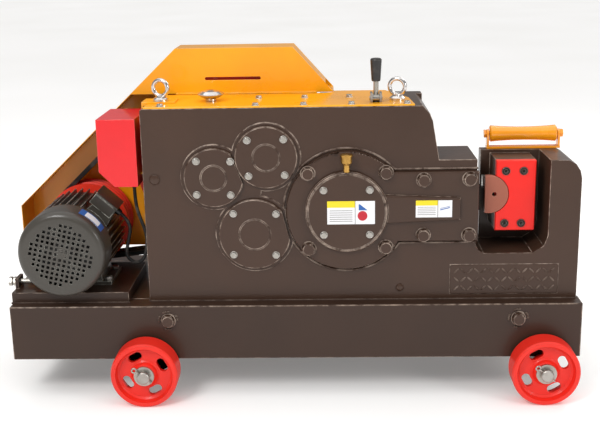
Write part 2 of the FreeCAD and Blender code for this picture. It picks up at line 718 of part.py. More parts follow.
def make_switch_box():
    left, right = at(box_left), at(box_right)
    chamfer = 34.0
    outline = [(left, box_bottom_z + chamfer), (left + chamfer, box_bottom_z), (right, box_bottom_z),
               (right, box_top_z), (left, box_top_z)]
    w = box_wall
    inner = [(left + w, box_bottom_z + chamfer), (left + chamfer, box_bottom_z + w), (right - w,
                                                                                      box_bottom_z + w),
             (right - w, box_top_z - w), (left + w, box_top_z - w)]
    shell = prism_y(outline, box_front_y, box_rear_y).cut(prism_y(inner, box_front_y + w, box_rear_y - w))
    gland_x, gland_y = at(lead_points[0][0]), lead_points[0][1]
    for y, z in button_places():
        shell = shell.cut(rod_x(y, z, 11.3, left - 1, left + w + 1))
    shell = shell.cut(rod_z(gland_x, gland_y, 7, box_bottom_z - 1, box_bottom_z + w + 1))
    save("switch_box", shell)
    guide = [rod_x(y, z, 15, left - 4, left).cut(rod_x(y, z, 11.3, left - 5, left + 1))
             for y, z in button_places()]
    for name, (y, z), proud in zip(("start_button", "stop_button"), button_places(), (7.0, 12.0)):
        cap = turned_x(y, z, [(0, left - proud), (9, left - proud), (11, left - proud + 2),
                              (11, left + 12), (0, left + 12)])
        save(name, cap)
    gland = turned_z(gland_x, gland_y, [(0, box_bottom_z - box_gland_l), (6.5, box_bottom_z - box_gland_l),
                                        (9, box_bottom_z - box_gland_l + 4),
                                        (9, box_bottom_z), (7, box_bottom_z), (7, box_bottom_z + 6), (0,
                                                                                                      box_bottom_z + 6)])
    mouth, foot = (V(at(p[0]), p[1], p[2]) for p in (lead_points[-1], terminal_side(entry_rise, 0.0,
                                                                                    entry_y)))
    entry = Part.makeCone(9, 6.5, motor_gland_l, foot, mouth - foot)
    save("box_fittings", group(guide + [gland, entry]))
    save("box_bracket", bracket_solid())


def button_places():
    return ((-60.0, box_top_z - 50), (-60.0, box_top_z - 90))


# route of the lead between the switch box and the motor's terminal box: stations, y, z
lead_r = 4.0
box_gland_l = 14.0
motor_gland_l = 12.0
lid_turn = 48.0
terminal_lift = motor_tube_r + 12
terminal_half = 30.0
terminal_h = 26.0


def terminal_side(rise, out, y):
    """Point on the lower side of the terminal box, rise above its foot and out from its wall."""
    turn = math.radians(lid_turn)
    along, across = terminal_lift + rise, terminal_half + out
    return (motor_x + along * math.cos(turn) + across * math.sin(turn), y,
            motor_z + along * math.sin(turn) - across * math.cos(turn))


entry_rise = 15.0
entry_y = -61.0
lead_points = ((-362.0, -92.0, box_bottom_z - box_gland_l), (-362.0, -92.0, 432.0), (-353.0, -97.0, 398.0),
               (-340.0, -101.0, 367.0), (-337.0, -103.0, 334.0), (-347.0, -104.0, 298.0), (-370.0, -92.0,
                                                                                           286.0),
               (-394.0, -78.0, 299.0), (-392.0, -60.0, 324.0),
               terminal_side(entry_rise, motor_gland_l + 34.0, entry_y),
               terminal_side(entry_rise, motor_gland_l, entry_y))


def tube_along(points, r):
    """Straight runs joined by tangent arcs, swept with a round section."""
    vectors = [V(*p) for p in points]
    edges = []
    start = vectors[0]
    for index in range(1, len(vectors) - 1):
        before, here, after = vectors[index - 1], vectors[index], vectors[index + 1]
        into = (before - here)
        out = (after - here)
        shorter = min(into.Length, out.Length)
        into.normalize()
        out.normalize()
        half_turn = (math.pi - into.getAngle(out)) / 2
        setback = 0.45 * shorter
        radius = setback / math.tan(half_turn)
        print("lead arc radius", round(radius, 1))
        p0 = here + into * setback
        p2 = here + out * setback
        middle_dir = into + out
        middle_dir.normalize()
        to_centre = radius / math.cos(half_turn)
        p1 = here + middle_dir * (to_centre - radius)
        edges.append(Part.LineSegment(start, p0).toShape())
        edges.append(Part.Arc(p0, p1, p2).toShape())
        start = p2
    edges.append(Part.LineSegment(start, vectors[-1]).toShape())
    path = Part.Wire(edges)
    first = vectors[1] - vectors[0]
    circle = Part.Wire(Part.makeCircle(r, vectors[0], first))
    tube = path.makePipeShell([circle], True, True)
    print("lead length", round(path.Length, 1), "volume ratio",
          round(tube.Volume / (math.pi * r * r * path.Length), 4))
    return tube


# ---------------------------------------------------------------- shafts, bearings, crank
def make_shafts():
    rings, balls = [], []
    rear_end = (pulley_front_y + pulley_width + 6, case_rear_y + 4, case_rear_y + 4)
    names = ("input_shaft", "second_shaft", "third_shaft")
    for index in range(3):
        x, z = shaft_at[index]
        r, rear_r = shaft_r[index], shaft_rear_r[index]
        front_y = case_front_y
        stage_y = stage_front_y[index]
        split = stage_y + stage_face[index]
        pinion = gear(x, z, stage_pinion[index], stage_module[index], stage_y, split, pinion_angle(index), 0)
        body = [rod_y(x, z, r, front_y, split), rod_y(x, z, rear_r, split - 1, rear_end[index]), pinion]
        save(names[index], joined(body))
        for y0, y1, outer, inner in ((front_y, case_inner_front_y, bearing_outer_r[index], r),
                                     (case_inner_rear_y, case_rear_y, bearing_rear_outer_r[index], rear_r)):
            step = (outer - inner) / 3.2
            rings.append(ring_y(x, z, outer, outer - step, y0 + 1, y1 - 1))
            ball_r = step * 0.6 - 0.1
            middle_r = (outer + inner) / 2
            balls.append(ring_y(x, z, middle_r + ball_r, inner + run_fit, y0 + 3, y1 - 3))
    save("shaft_bearings", group(rings + balls + motor_bearings()))
    gear_names = ("second_gear", "third_gear")
    for index, name in ((0, gear_names[0]), (1, gear_names[1])):
        x, z = shaft_at[index + 1]
        y0, y1 = stage_front_y[index], stage_front_y[index] + stage_face[index]
        solid = gear(x, z, stage_wheel[index], stage_module[index], y0, y1, wheel_angle(index),
                     shaft_r[index + 1])
        hub_r = shaft_r[index + 1] + 18
        save(name, lightened(solid, x, z, stage_wheel[index], stage_module[index], y0, y1, hub_r))


dog_h = 8.0
collar_r = 46.0
dog_inner_r = 37.0
groove_r = 40.0
collar_front_y = 14.5


def dogs(y0, y1, r_out, r_in, first):
    wedges = []
    for turn in range(4):
        a = first + 90 * turn
        corner_a = step_out(crank_x, crank_z, 2 * r_out, a - 19)
        corner_b = step_out(crank_x, crank_z, 2 * r_out, a + 19)
        wedges.append(prism_y([(crank_x, crank_z), corner_a, corner_b], y0, y1))
    return [ring_y(crank_x, crank_z, r_out, r_in, y0, y1).common(w) for w in wedges]


def make_crank():
    gear_y0 = stage_front_y[2]
    gear_y1 = gear_y0 + stage_face[2]
    big = gear(crank_x, crank_z, stage_wheel[2], stage_module[2], gear_y0, gear_y1, wheel_angle(2),
               crank_gear_seat_r + run_fit)
    big = lightened(big, crank_x, crank_z, stage_wheel[2], stage_module[2], gear_y0, gear_y1, 64)
    save("crank_gear", joined([big] + dogs(gear_y1 - 0.5, gear_y1 + dog_h, collar_r, dog_inner_r, 0)))

    rod_rear_y = rod_front_y + rod_t
    ecc_x = crank_x + throw
    parts = [rod_y(crank_x, crank_z, crank_journal_r, case_front_y - guide_plate_t + 2, rod_front_y),
             rod_y(ecc_x, crank_z, eccentric_r, rod_front_y - 1, rod_rear_y + 1),
             rod_y(crank_x, crank_z, crank_gear_seat_r, rod_rear_y, gear_y1 + dog_h),
             rod_y(crank_x, crank_z, crank_tail_r, gear_y1 + dog_h - 1, clutch_bay_rear_y)]
    spline = crank_spline_r
    half_key = 6.0
    for turn in (45, 135):
        key = box(crank_x - spline, gear_y1 + dog_h, crank_z - half_key, crank_x + spline,
                  clutch_bay_rear_y - 15, crank_z + half_key)
        key.rotate(V(crank_x, 0, crank_z), V(0, 1, 0), -turn)
        parts.append(key)
    save("crankshaft", joined(parts))

    y0, y1 = collar_front_y + dog_h, collar_front_y + dog_h + 18
    collar = ring_y(crank_x, crank_z, collar_r, crank_tail_r + run_fit, y0, y1)
    collar = joined([collar] + dogs(collar_front_y, y0 + 0.5, collar_r, dog_inner_r, 45))
    for turn in (45, 135):
        slot = box(crank_x - spline - 0.3, collar_front_y - 1, crank_z - half_key - 0.15,
                   crank_x + spline + 0.3,
                   y1 + 1, crank_z + half_key + 0.15)
        slot.rotate(V(crank_x, 0, crank_z), V(0, 1, 0), -turn)
        collar = collar.cut(slot)
    collar = collar.cut(ring_y(crank_x, crank_z, collar_r + 5, groove_r, y0 + 5, y1 - 5))
    save("clutch_collar", collar)

    bushes = [ring_y(crank_x, crank_z, crank_journal_r + 13, crank_journal_r + run_fit,
                     case_front_y - guide_plate_t + 3, case_inner_front_y),
              ring_y(crank_x, crank_z, crank_tail_r + 10, crank_tail_r + run_fit,
                     clutch_bay_rear_y - 14, clutch_bay_rear_y)]
    save("bushes_and_liners", group(bushes + guide_liners()))

    bearing_play = 0.4
    extra = 5.2
    window = joined([rod_y(ecc_x - extra, crank_z, eccentric_r + bearing_play, rod_front_y - 1,
                           rod_rear_y + 1),
                     rod_y(ecc_x + extra, crank_z, eccentric_r + bearing_play, rod_front_y - 1,
                           rod_rear_y + 1),
                     rod_y(ecc_x - extra, crank_z - throw, eccentric_r + bearing_play, rod_front_y - 1,
                           rod_rear_y + 1),
                     rod_y(ecc_x + extra, crank_z - throw, eccentric_r + bearing_play, rod_front_y - 1,
                           rod_rear_y + 1),
                     box(ecc_x - extra - eccentric_r - bearing_play, rod_front_y - 1, crank_z - throw,
                         ecc_x + extra + eccentric_r + bearing_play, rod_rear_y + 1, crank_z),
                     box(ecc_x - extra, rod_front_y - 1, crank_z - throw - eccentric_r - bearing_play,
                         ecc_x + extra, rod_rear_y + 1, crank_z + eccentric_r + bearing_play)])
    wall = 14.0
    outer_r = eccentric_r + extra + wall
    head = joined([rod_y(ecc_x, crank_z, outer_r, rod_front_y, rod_rear_y),
                   rod_y(ecc_x, crank_z - throw, outer_r, rod_front_y, rod_rear_y),
                   box(ecc_x - outer_r, rod_front_y, crank_z - throw, ecc_x + outer_r, rod_rear_y, crank_z)])
    eye_r = 22.0
    shank = prism_y([(ecc_x + 40, ram_z - eye_r - 5), (at(wrist_x), ram_z - eye_r),
                     (at(wrist_x), ram_z + eye_r), (ecc_x + 40, ram_z + eye_r + 4)], rod_front_y, rod_rear_y)
    eye = rod_y(at(wrist_x), ram_z, eye_r, rod_front_y, rod_rear_y)
    rod = joined([head, shank, eye]).cut(window)
    rod = rod.cut(rod_y(at(wrist_x), ram_z, wrist_r, rod_front_y - 1, rod_rear_y + 1))
    save("connecting_rod", rod)


blade_front_y = ram_front_y
blade_h = 46.0
blade_root = 384.0
blade_bolt_x = 400.0


def make_ram():
    x0, x1 = at(ram_tail), at(ram_nose)
    y0, y1 = ram_front_y, ram_rear_y
    z0, z1 = ram_z - ram_h / 2, ram_z + ram_h / 2
    solid = box(x0, y0, z0, x1, y1, z1)
    slot = box(x0 - 1, rod_front_y - 0.5, z0 - 1, at(wrist_x) + 26, rod_front_y + rod_t + 0.5, z1 + 1)
    solid = solid.cut(slot)
    solid = solid.cut(rod_y(at(wrist_x), ram_z, wrist_r, y0 - 1, y1 + 1))
    pocket = box(at(blade_root), y0 - 1, ram_z - blade_h / 2, x1 + 1, y0 + blade_t, ram_z + blade_h / 2)
    solid = solid.cut(pocket)
    nose = box(x1 - 6, y0 + blade_t - 1, z0 - 1, x1 + 1, y1 + 1, z1 + 1)
    solid = solid.cut(nose)
    solid = solid.cut(rod_y(at(blade_bolt_x), ram_z, 6, y0, y1 - 8))
    save("ram", solid)
    save("wrist_pin", rod_y(at(wrist_x), ram_z, wrist_r, y0 + 0.5, y1 - 0.5))
    tip = at(fixed_edge + blade_overlap)
    blade = box(at(blade_root), y0, ram_z - blade_h / 2, tip, y0 + blade_t, ram_z + blade_h / 2)
    blade = blade.cut(rod_y(at(blade_bolt_x), ram_z, 6, y0 - 1, y0 + blade_t + 1))
    blade = blade.cut(rod_y(at(blade_bolt_x), ram_z, 10, y0 - 1, y0 + 9))
    save("moving_blade", blade)
    bolt = joined([rod_y(at(blade_bolt_x), ram_z, 10, y0 + 1, y0 + 9),
                   rod_y(at(blade_bolt_x), ram_z, 6, y0 + 8, y1 - 8)])
    bolt = bolt.cut(hexagon_y(at(blade_bolt_x), ram_z, 8, y0, y0 + 6))
    save("blade_bolt", bolt)


def guide_liners():
    """Bronze strips above, below, behind and in front of the ram."""
    y0, y1 = ram_front_y, ram_rear_y
    z0, z1 = ram_z - ram_h / 2, ram_z + ram_h / 2
    lx0, lx1 = at(240), at(guide_end) - 1
    fit = run_fit
    low = box(lx0, y0, z0 - ram_channel, lx1, y1, z0 - fit)
    high = box(lx0, y0, z1 + fit, lx1, y1, z1 + ram_channel)
    back = box(lx0, y1 + fit, z0 - ram_channel, lx1, y1 + ram_channel, z1 + ram_channel)
    front = box(lx0, y0 - ram_channel, z0 - ram_channel, lx1, y0 - fit, z1 + ram_channel)
    return [low, high, back, front]


def fixed_blade_solid():
    y0 = blade_front_y + blade_t + body_gap
    return box(at(fixed_edge), y0, 420, at(block_left) + 22, y0 + fixed_blade_t, 480)


holder_screw_r = 5.0
holder_left, holder_right = block_left, 540.0


def holder_screw_places():
    return ((at(473), 503.0), (at(512), 503.0), (at(473), 384.0), (at(510), 384.0))


def make_blade_seat():
    save("fixed_blade", fixed_blade_solid())
    y0, y1 = block_front_y - holder_t, block_front_y
    plate = box(at(holder_left), y0, block_bottom_z, at(holder_right), y1, block_top_z)
    plate = plate.makeFillet(3.0, [e for e in plate.Edges if abs(e.BoundBox.YMax - y0) < 1e-6])
    plate = plate.cut(rod_y(at(bar_stop_x), bar_stop_z, bar_stop_r + 1.2, y0 - 1, y1 - 5))
    for x, z in holder_screw_places():
        plate = plate.cut(rod_y(x, z, holder_screw_r, y0 - 1, y1 + 1))
        plate = plate.cut(rod_y(x, z, 9.2, y0 - 1, y0 + 6))
    save("blade_holder", plate)
    screws = []
    for x, z in holder_screw_places():
        head = rod_y(x, z, 9, y0 - 3, y0 + 6).cut(hexagon_y(x, z, 8, y0 - 4, y0 + 2))
        screws.append(joined([head, rod_y(x, z, holder_screw_r, y0 + 5, block_front_y + 24)]))
    save("holder_screws", group(screws))
    stop = rod_y(at(bar_stop_x), bar_stop_z, bar_stop_r, y1 - 5 - bar_stop_t, y1 - 5)
    stop = stop.cut(box(at(bar_stop_x) - 60, y0 - 20, 380, at(fixed_edge) - 2, y1 + 5, 520))
    stop = stop.cut(rod_y(at(449), bar_stop_z, 5, y0 - 20, y1 + 5))
    save("bar_stop", stop)


# ---------------------------------------------------------------- feed roller
roller_y, roller_z = -10.0, 566.0
roller_left, roller_right = 452.0, 606.0
roller_pin_r = 6.0


def make_roller():
    x0, x1 = at(roller_left), at(roller_right)
    middle = (x0 + x1) / 2
    profile = [(roller_pin_r + run_fit, x0), (15, x0), (19, x0 + 3)]
    for step in range(1, 8):
        x = x0 + 3 + (x1 - x0 - 6) * step / 8
        waist = 1 - ((x - middle) / ((x1 - x0) / 2)) ** 2
        profile.append((19 - 3.5 * waist, x))
    profile += [(19, x1 - 3), (15, x1), (roller_pin_r + run_fit, x1)]
    save("feed_roller", turned_x(roller_y, roller_z, profile))
    gap = 1.5
    strip = box(x0 - 7, roller_y - 14, post_top_z, x1 + 7, roller_y + 7, post_top_z + 5)
    pieces = [strip]
    for ear_x in (x0 - gap - 5, x1 + gap):
        pieces.append(box(ear_x, roller_y - 14, post_top_z, ear_x + 5, roller_y + 7, roller_z))
        pieces.append(rod_x(roller_y - 3.5, roller_z, 10.5, ear_x, ear_x + 5))
    bracket = joined(pieces).cut(rod_x(roller_y, roller_z, roller_pin_r, x0 - 20, x1 + 20))
    pin = joined([rod_x(roller_y, roller_z, roller_pin_r, x0 - gap - 6, x1 + gap + 12),
                  hexagon_x(roller_y, roller_z, 17, x0 - gap - 11, x0 - gap - 5)])
    nut = hexagon_x(roller_y, roller_z, 17, x1 + gap + 5, x1 + gap + 13)
    nut = nut.cut(rod_x(roller_y, roller_z, roller_pin_r, x0, x1 + 40))
    save("roller_bracket", group([bracket, pin, nut]))


# ---------------------------------------------------------------- clutch lever and fork
def make_lever():
    x, y = at(lever_x), lever_y
    z1 = case_top_z + sheet_t
    pivot_r = 5.0
    socket = box(x - 12.5, y - 12.5, z1, x + 12.5, y + 12.5, z1 + 21)
    socket = socket.cut(box(x - 7.4, y - 14, z1 - 1, x + 7.4, y + 14, z1 + 22))
    socket = socket.cut(rod_x(y, lever_pivot_z, pivot_r, x - 20, x + 20))
    save("lever_socket", group([socket, rod_x(y, lever_pivot_z, pivot_r, x - 14, x + 14)]))
    stick = rod_z(x, y, lever_rod_r, fork_z, lever_top_z - 40)
    hub = rod_x(y, lever_pivot_z, 9.0, x - 7, x + 7)
    end = rod_x(y, fork_z, lever_end_r, x - 6, x + 6)
    lever = joined([stick, hub, end]).cut(rod_x(y, lever_pivot_z, pivot_r + run_fit, x - 20, x + 20))
    save("clutch_lever", lever)
    knob = turned_z(x, y, [(lever_rod_r, lever_top_z - 50), (9.2, lever_top_z - 50), (10, lever_top_z - 46),
                           (12.6, lever_top_z - 4), (11, lever_top_z - 1), (7, lever_top_z), (0, lever_top_z),
                           (0, lever_top_z - 40), (lever_rod_r, lever_top_z - 40)])
    save("lever_knob", knob)

    groove_y0 = collar_front_y + dog_h + 5
    groove_y1 = collar_front_y + dog_h + 13
    fork_y0, fork_y1 = groove_y0 + 0.4, groove_y1 - 0.4
    bar = rod_y(x, fork_z, fork_bar_r, y - 4, fork_y1)
    head = box(x - 12, y - 11, fork_z - 14, x + 12, y + 14, fork_z + 12)
    notch = joined([box(x - 6.8, y - lever_end_r - 0.2, fork_z - 8, x + 6.8, y + lever_end_r + 0.2,
                        fork_z + 13),
                    box(x - 6.8, y - lever_end_r - 0.2, fork_z + 1, x + 6.8, y + lever_end_r + 4,
                        fork_z + 13)])
    yoke_r = groove_r + 0.6
    yoke = ring_y(crank_x, crank_z, yoke_r + 18, yoke_r, fork_y0, fork_y1)
    yoke = yoke.common(box(crank_x - collar_r, fork_y0, crank_z - 6, crank_x + 90, fork_y1, crank_z + 90))
    blade = prism_y([(x - 14, fork_z + 8), (x + 10, fork_z + 8), (crank_x + 52, crank_z + 20),
                     (crank_x + 14, crank_z + 54)], fork_y0, fork_y1)
    ring_space = rod_y(crank_x, crank_z, yoke_r, fork_y0 - 1, fork_y1 + 1)
    fork = joined([bar, head, yoke, blade.cut(ring_space)])
    fork = fork.cut(notch)
    save("shift_fork", fork)


# ---------------------------------------------------------------- belt drive
def grooved_pulley(x, z, outer_r, bore_r, web):
    """Pulley with V grooves. web is (rim inner radius, web thickness, hub radius) or None."""
    y0, y1 = pulley_front_y, pulley_front_y + pulley_width
    first = (y0 + y1) / 2 - belt_pitch * (belt_count - 1) / 2
    profile = [(bore_r, y0)]
    half_top, half_floor = groove_top_w / 2, groove_top_w / 2 - groove_depth * 0.34
    edge = [(outer_r, y0)]
    for index in range(belt_count):
        middle = first + belt_pitch * index
        edge += [(outer_r, middle - half_top), (outer_r - groove_depth, middle - half_floor),
                 (outer_r - groove_depth, middle + half_floor), (outer_r, middle + half_top)]
    edge.append((outer_r, y1))
    if web is None:
        return turned_y(x, z, profile + edge + [(bore_r, y1)])
    rim_r, web_t, hub_r = web
    middle_y = (y0 + y1) / 2
    front = [(bore_r, y0), (hub_r, y0), (hub_r + 4, middle_y - web_t / 2),
             (rim_r - 4, middle_y - web_t / 2), (rim_r, y0)]
    back = [(rim_r, y1), (rim_r - 4, middle_y + web_t / 2), (hub_r + 4, middle_y + web_t / 2),
            (hub_r, y1), (bore_r, y1)]
    return turned_y(x, z, front + edge + back)


def one_belt(y):
    """V belt round both pulleys: two wrapped arcs and two straight runs."""
    x0, z0 = at(motor_x), motor_z
    x1, z1 = shaft_at[0]
    r0 = motor_pulley_r - 0.7
    r1 = flywheel_r - 0.7
    dx, dz = x1 - x0, z1 - z0
    span = math.hypot(dx, dz)
    line = math.degrees(math.atan2(dz, dx))
    lean = math.degrees(math.acos((r0 - r1) / span))
    half_top = belt_top_w / 2
    half_low = half_top - belt_h * 0.34
    pieces = []
    for (cx, cz), r, start, sweep in (((x0, z0), r0, line + lean, 360 - 2 * lean),
                                      ((x1, z1), r1, line - lean, 2 * lean)):
        section = Part.makePolygon([V(cx + r, y - half_top, cz), V(cx + r, y + half_top, cz),
                                    V(cx + r - belt_h, y + half_low, cz), V(cx + r - belt_h, y - half_low,
                                                                            cz),
                                    V(cx + r, y - half_top, cz)])
        wrap = Part.Face(section).revolve(V(cx, y, cz), V(0, 1, 0), -sweep)
        wrap.rotate(V(cx, y, cz), V(0, 1, 0), -start)
        pieces.append(wrap)
    for sign in (1, -1):
        turn = math.radians(line + sign * lean)
        nx, nz = math.cos(turn), math.sin(turn)
        points = []
        for depth, half in ((0, -half_top), (0, half_top), (belt_h, half_low), (belt_h, -half_low)):
            points.append(V(x0 + (r0 - depth) * nx, y + half, z0 + (r0 - depth) * nz))
        face = Part.Face(Part.makePolygon(points + [points[0]]))
        travel = V(x1 + r1 * nx - x0 - r0 * nx, 0, z1 + r1 * nz - z0 - r0 * nz)
        pieces.append(face.extrude(travel))
    return joined(pieces)


def make_belt_drive():
    x, z = shaft_at[0]
    save("flywheel_pulley", grooved_pulley(x, z, flywheel_r, shaft_rear_r[0], (flywheel_r - 34, 20, 46)))
    save("motor_pulley", grooved_pulley(at(motor_x), motor_z, motor_pulley_r, motor_shaft_r,
                                        (motor_pulley_r - 26, 20, 34)))
    middle = pulley_front_y + pulley_width / 2
    ys = [middle + belt_pitch * (index - (belt_count - 1) / 2) for index in range(belt_count)]
    save("v_belts", group([one_belt(y) for y in ys]))


guard_bottom_z = 262.0
guard_clear = 6.0


def guard_outline(inset):
    """Outline of the guard, moved inwards by inset."""
    left, right, top = at(guard_left) + inset, at(guard_right), guard_top_z - inset
    shoulder_z = 392.0
    peak_left, peak_right = at(-276.0), at(0.0)
    foot_z = case_top_z + sheet_t + inset
    side = shaft_at[0][0] + flywheel_r + guard_clear + guard_t - inset
    low_z = guard_bottom_z - (5 if inset else 0)
    return [(left, low_z), (left, shoulder_z), (peak_left + inset * 0.4, top), (peak_right - inset * 0.4,
                                                                                top),
            (right - inset * 0.6, foot_z), (side, foot_z), (side, low_z)]


def make_guard():
    y0, y1 = guard_front_y, guard_front_y + guard_depth
    shell = prism_y(guard_outline(0), y0, y1)
    hollow = prism_y(guard_outline(guard_t), y0 - 1, y1 - guard_t)
    shell = shell.cut(hollow)
    face = prism_y(guard_outline(0.5), y0, y0 + guard_t)
    face = face.common(box(at(-420), y0 - 1, case_top_z + sheet_t, at(200), y0 + 9, guard_top_z + 9))
    foot = box(at(-276), y0 - 14, case_top_z + sheet_t, at(guard_right) - 40, y0 + 1,
               case_top_z + sheet_t + guard_t)
    foot = foot.cut(box(at(case_left) - 200, case_rear_y, case_top_z - 5,
                        at(clutch_bay_left) + 31, y0 - 1, case_top_z + 3))
    slot_z = 695.0
    slot = joined([box(at(-204), y0 - 5, slot_z - 3.5, at(-80), y0 + 9, slot_z + 3.5),
                   rod_y(at(-204), slot_z, 3.5, y0 - 5, y0 + 9), rod_y(at(-80), slot_z, 3.5, y0 - 5, y0 + 9)])
    guard = joined([shell, face, foot]).cut(slot)
    stays = []
    for x in (at(-600), at(20)):
        post = box(x, y1 - guard_t - 4, base_top_z, x + 30, y1 - guard_t, guard_bottom_z + 30)
        toe = box(x, y1 - guard_t - 4, base_top_z, x + 30, y1 - guard_t + 30, base_top_z + 4)
        stays.append(joined([post, toe]))
    save("belt_guard", group([guard] + stays))


# ---------------------------------------------------------------- motor
motor_shaft_r = 14.0
fin_count = 36


shield_t = 16.0
tube_front = motor_front_y + cowl_len - 8


def motor_bearings():
    x, z = at(motor_x), motor_z
    shield_y = motor_rear_y - shield_t
    return [ring_y(x, z, motor_shaft_r + 12, motor_shaft_r + run_fit, shield_y, shield_y + 12),
            ring_y(x, z, motor_shaft_r + 12, motor_shaft_r + run_fit, tube_front - 8, tube_front)]


def make_motor():
    x, z = at(motor_x), motor_z
    tube = ring_y(x, z, motor_tube_r, motor_tube_r - 8, tube_front, motor_rear_y - shield_t)
    fins = []
    for index in range(fin_count):
        turn = 360.0 * index / fin_count
        if 25 < turn < 68:
            continue
        fin = box(x + motor_tube_r - 2, tube_front + 14, z - 1.3,
                  x + motor_fin_r, motor_rear_y - shield_t, z + 1.3)
        fin.rotate(V(x, 0, z), V(0, 1, 0), -turn)
        fins.append(fin)
    foot_z = base_top_z + motor_base_h
    feet = []
    for side in (-1, 1):
        outer = x + side * 88
        inner = x + side * 30
        pad = box(min(outer, inner), -118, foot_z, max(outer, inner), -2, foot_z + 9)
        leg = prism_y([(x + side * 44, foot_z + 8), (x + side * 66, foot_z + 8), (x + side * 60, z - 52),
                       (x + side * 46, z - 62)], -112, -8)
        feet += [pad, leg]
    pedestal = prism_y([(x + 18, z + 60), (x + 70, z + 18), (x + 92, z + 55), (x + 60, z + 94)], -96, -26)
    hole = rod_y(x, z, motor_tube_r - 1, tube_front - 5, motor_rear_y)
    frame = joined([tube] + fins + [part.cut(hole) for part in feet + [pedestal]])
    for bx, by in motor_foot_bolts():
        frame = frame.cut(rod_z(bx, by, 5, foot_z - 1, foot_z + 12))

    shield_y = motor_rear_y - shield_t
    shield = turned_y(x, z, [(motor_shaft_r + 12, shield_y), (motor_tube_r, shield_y), (motor_tube_r,
                                                                                        shield_y + 5),
                             (motor_tube_r - 10, shield_y + 9), (46, shield_y + shield_t),
                             (motor_shaft_r + 12, shield_y + shield_t)])
    rear = turned_y(x, z, [(motor_shaft_r + 12, tube_front - 8), (60, tube_front - 8), (motor_tube_r,
                                                                                        tube_front - 3),
                           (motor_tube_r, tube_front), (motor_shaft_r + 12, tube_front)])
    save("motor_frame", group([frame, shield, rear]))

    shaft = rod_y(x, z, motor_shaft_r, motor_front_y + 20, pulley_front_y + pulley_width)
    core = rod_y(x, z, motor_tube_r - 30, tube_front + 20, motor_rear_y - shield_t - 12)
    save("motor_rotor", joined([shaft, core]))
    stator = ring_y(x, z, motor_tube_r - 8, motor_tube_r - 29, tube_front + 18, motor_rear_y - shield_t - 10)
    save("motor_stator", stator)

    fan_y = motor_front_y + 22
    hub = ring_y(x, z, 26, motor_shaft_r, fan_y, fan_y + 26)
    plate = ring_y(x, z, cowl_r - 12, motor_shaft_r, fan_y + 22, fan_y + 25)
    blades = []
    for index in range(7):
        blade = box(x + 24, fan_y + 2, z - 1.2, x + cowl_r - 13, fan_y + 23, z + 1.2)
        blade.rotate(V(x, 0, z), V(0, 1, 0), -360.0 * index / 7)
        blades.append(blade)
    save("motor_fan", joined([hub, plate] + blades))

    y0 = motor_front_y
    curve = 16.0
    outer, inner = [(0, y0)], [(0, y0 + cowl_t)]
    for step in range(7):
        turn = math.radians(15.0 * step)
        outer.append((cowl_r - curve + curve * math.sin(turn), y0 + curve - curve * math.cos(turn)))
        inner.append((cowl_r - curve + (curve - cowl_t) * math.sin(turn),
                      y0 + curve - (curve - cowl_t) * math.cos(turn)))
    profile = outer + [(cowl_r, y0 + cowl_len), (cowl_r - cowl_t, y0 + cowl_len)] + inner[::-1]
    cowl = turned_y(x, z, profile)
    pitch, hole_w = 11.2, 6.6
    cutters = []
    for row in range(-6, 7):
        for column in range(-6, 7):
            if math.hypot(row, column) * pitch > cowl_r - 28 or (abs(row) <= 0 and abs(column) <= 0):
                continue
            u, v = column * pitch, row * pitch
            cutters.append(box(u - hole_w / 2, y0 - 1, v - hole_w / 2,
                               u + hole_w / 2, y0 + cowl_t + 1, v + hole_w / 2))
    grid = Part.makeCompound(cutters)
    grid.rotate(V(0, 0, 0), V(0, 1, 0), 14)
    grid.translate(V(x, 0, z))
    save("motor_cowl", cowl.cut(grid))

    lift, half = terminal_lift, terminal_half
    lid_x = x + lift + terminal_h
    wall = box(x + lift, -98, z - half, lid_x, -24, z + half)
    wall = wall.cut(box(x + lift - 1, -94, z - half + 4, lid_x + 1, -28, z + half - 4))
    lid = box(lid_x, -99, z - half - 1, lid_x + 5, -23, z + half + 1)
    lid = lid.makeFillet(2.4, [e for e in lid.Edges if abs(e.BoundBox.XMin - (lid_x + 5)) < 1e-6])
    for solid in (wall, lid):
        solid.rotate(V(x, 0, z), V(0, 1, 0), -lid_turn)
    save("terminal_box", group([wall.cut(frame), lid]))

    left, right = at(motor_base_left), at(motor_base_right)
    y0, y1 = motor_base_front_y, motor_base_rear_y
    plate = box(left, y0, base_top_z, right, y1, foot_z)
    plate = plate.cut(box(left + 6, y0 + 6, base_top_z - 1, right - 6, y1 - 6, foot_z - 7))
    lug = box(left, -140, foot_z - 1, left + 8, -100, foot_z + 24)
    plate = joined([plate, lug]).cut(rod_x(-120, foot_z + 12, 6, left - 20, left + 60))
    for bx, by in motor_foot_bolts():
        plate = plate.cut(rod_z(bx, by, 5, foot_z - 20, foot_z + 1))
    save("motor_base", plate)
    bolts = [hex_bolt_z(bx, by, foot_z + 9, 17, 7, 5, 22) for bx, by in motor_foot_bolts()]
    screw = rod_x(-120, foot_z + 12, 6, left - 12, x - 88)
    head = hexagon_x(-120, foot_z + 12, 19, left - 19, left - 11)
    nut = hexagon_x(-120, foot_z + 12, 19, left - 8, left).cut(rod_x(-120, foot_z + 12, 6, left - 30,
                                                                     left + 30))
    save("motor_bolts", group(bolts + [joined([screw, head]), nut]))


def motor_foot_bolts():
    x = at(motor_x)
    return ((x - 77, -100.0), (x + 77, -100.0), (x - 77, -20.0), (x + 77, -20.0))


# ---------------------------------------------------------------- oil cup
lid_r = 14.0
ear_half = 3.0
ear_r = 2.2
hinge_pin_r = 1.2
knuckle_end = 6.5


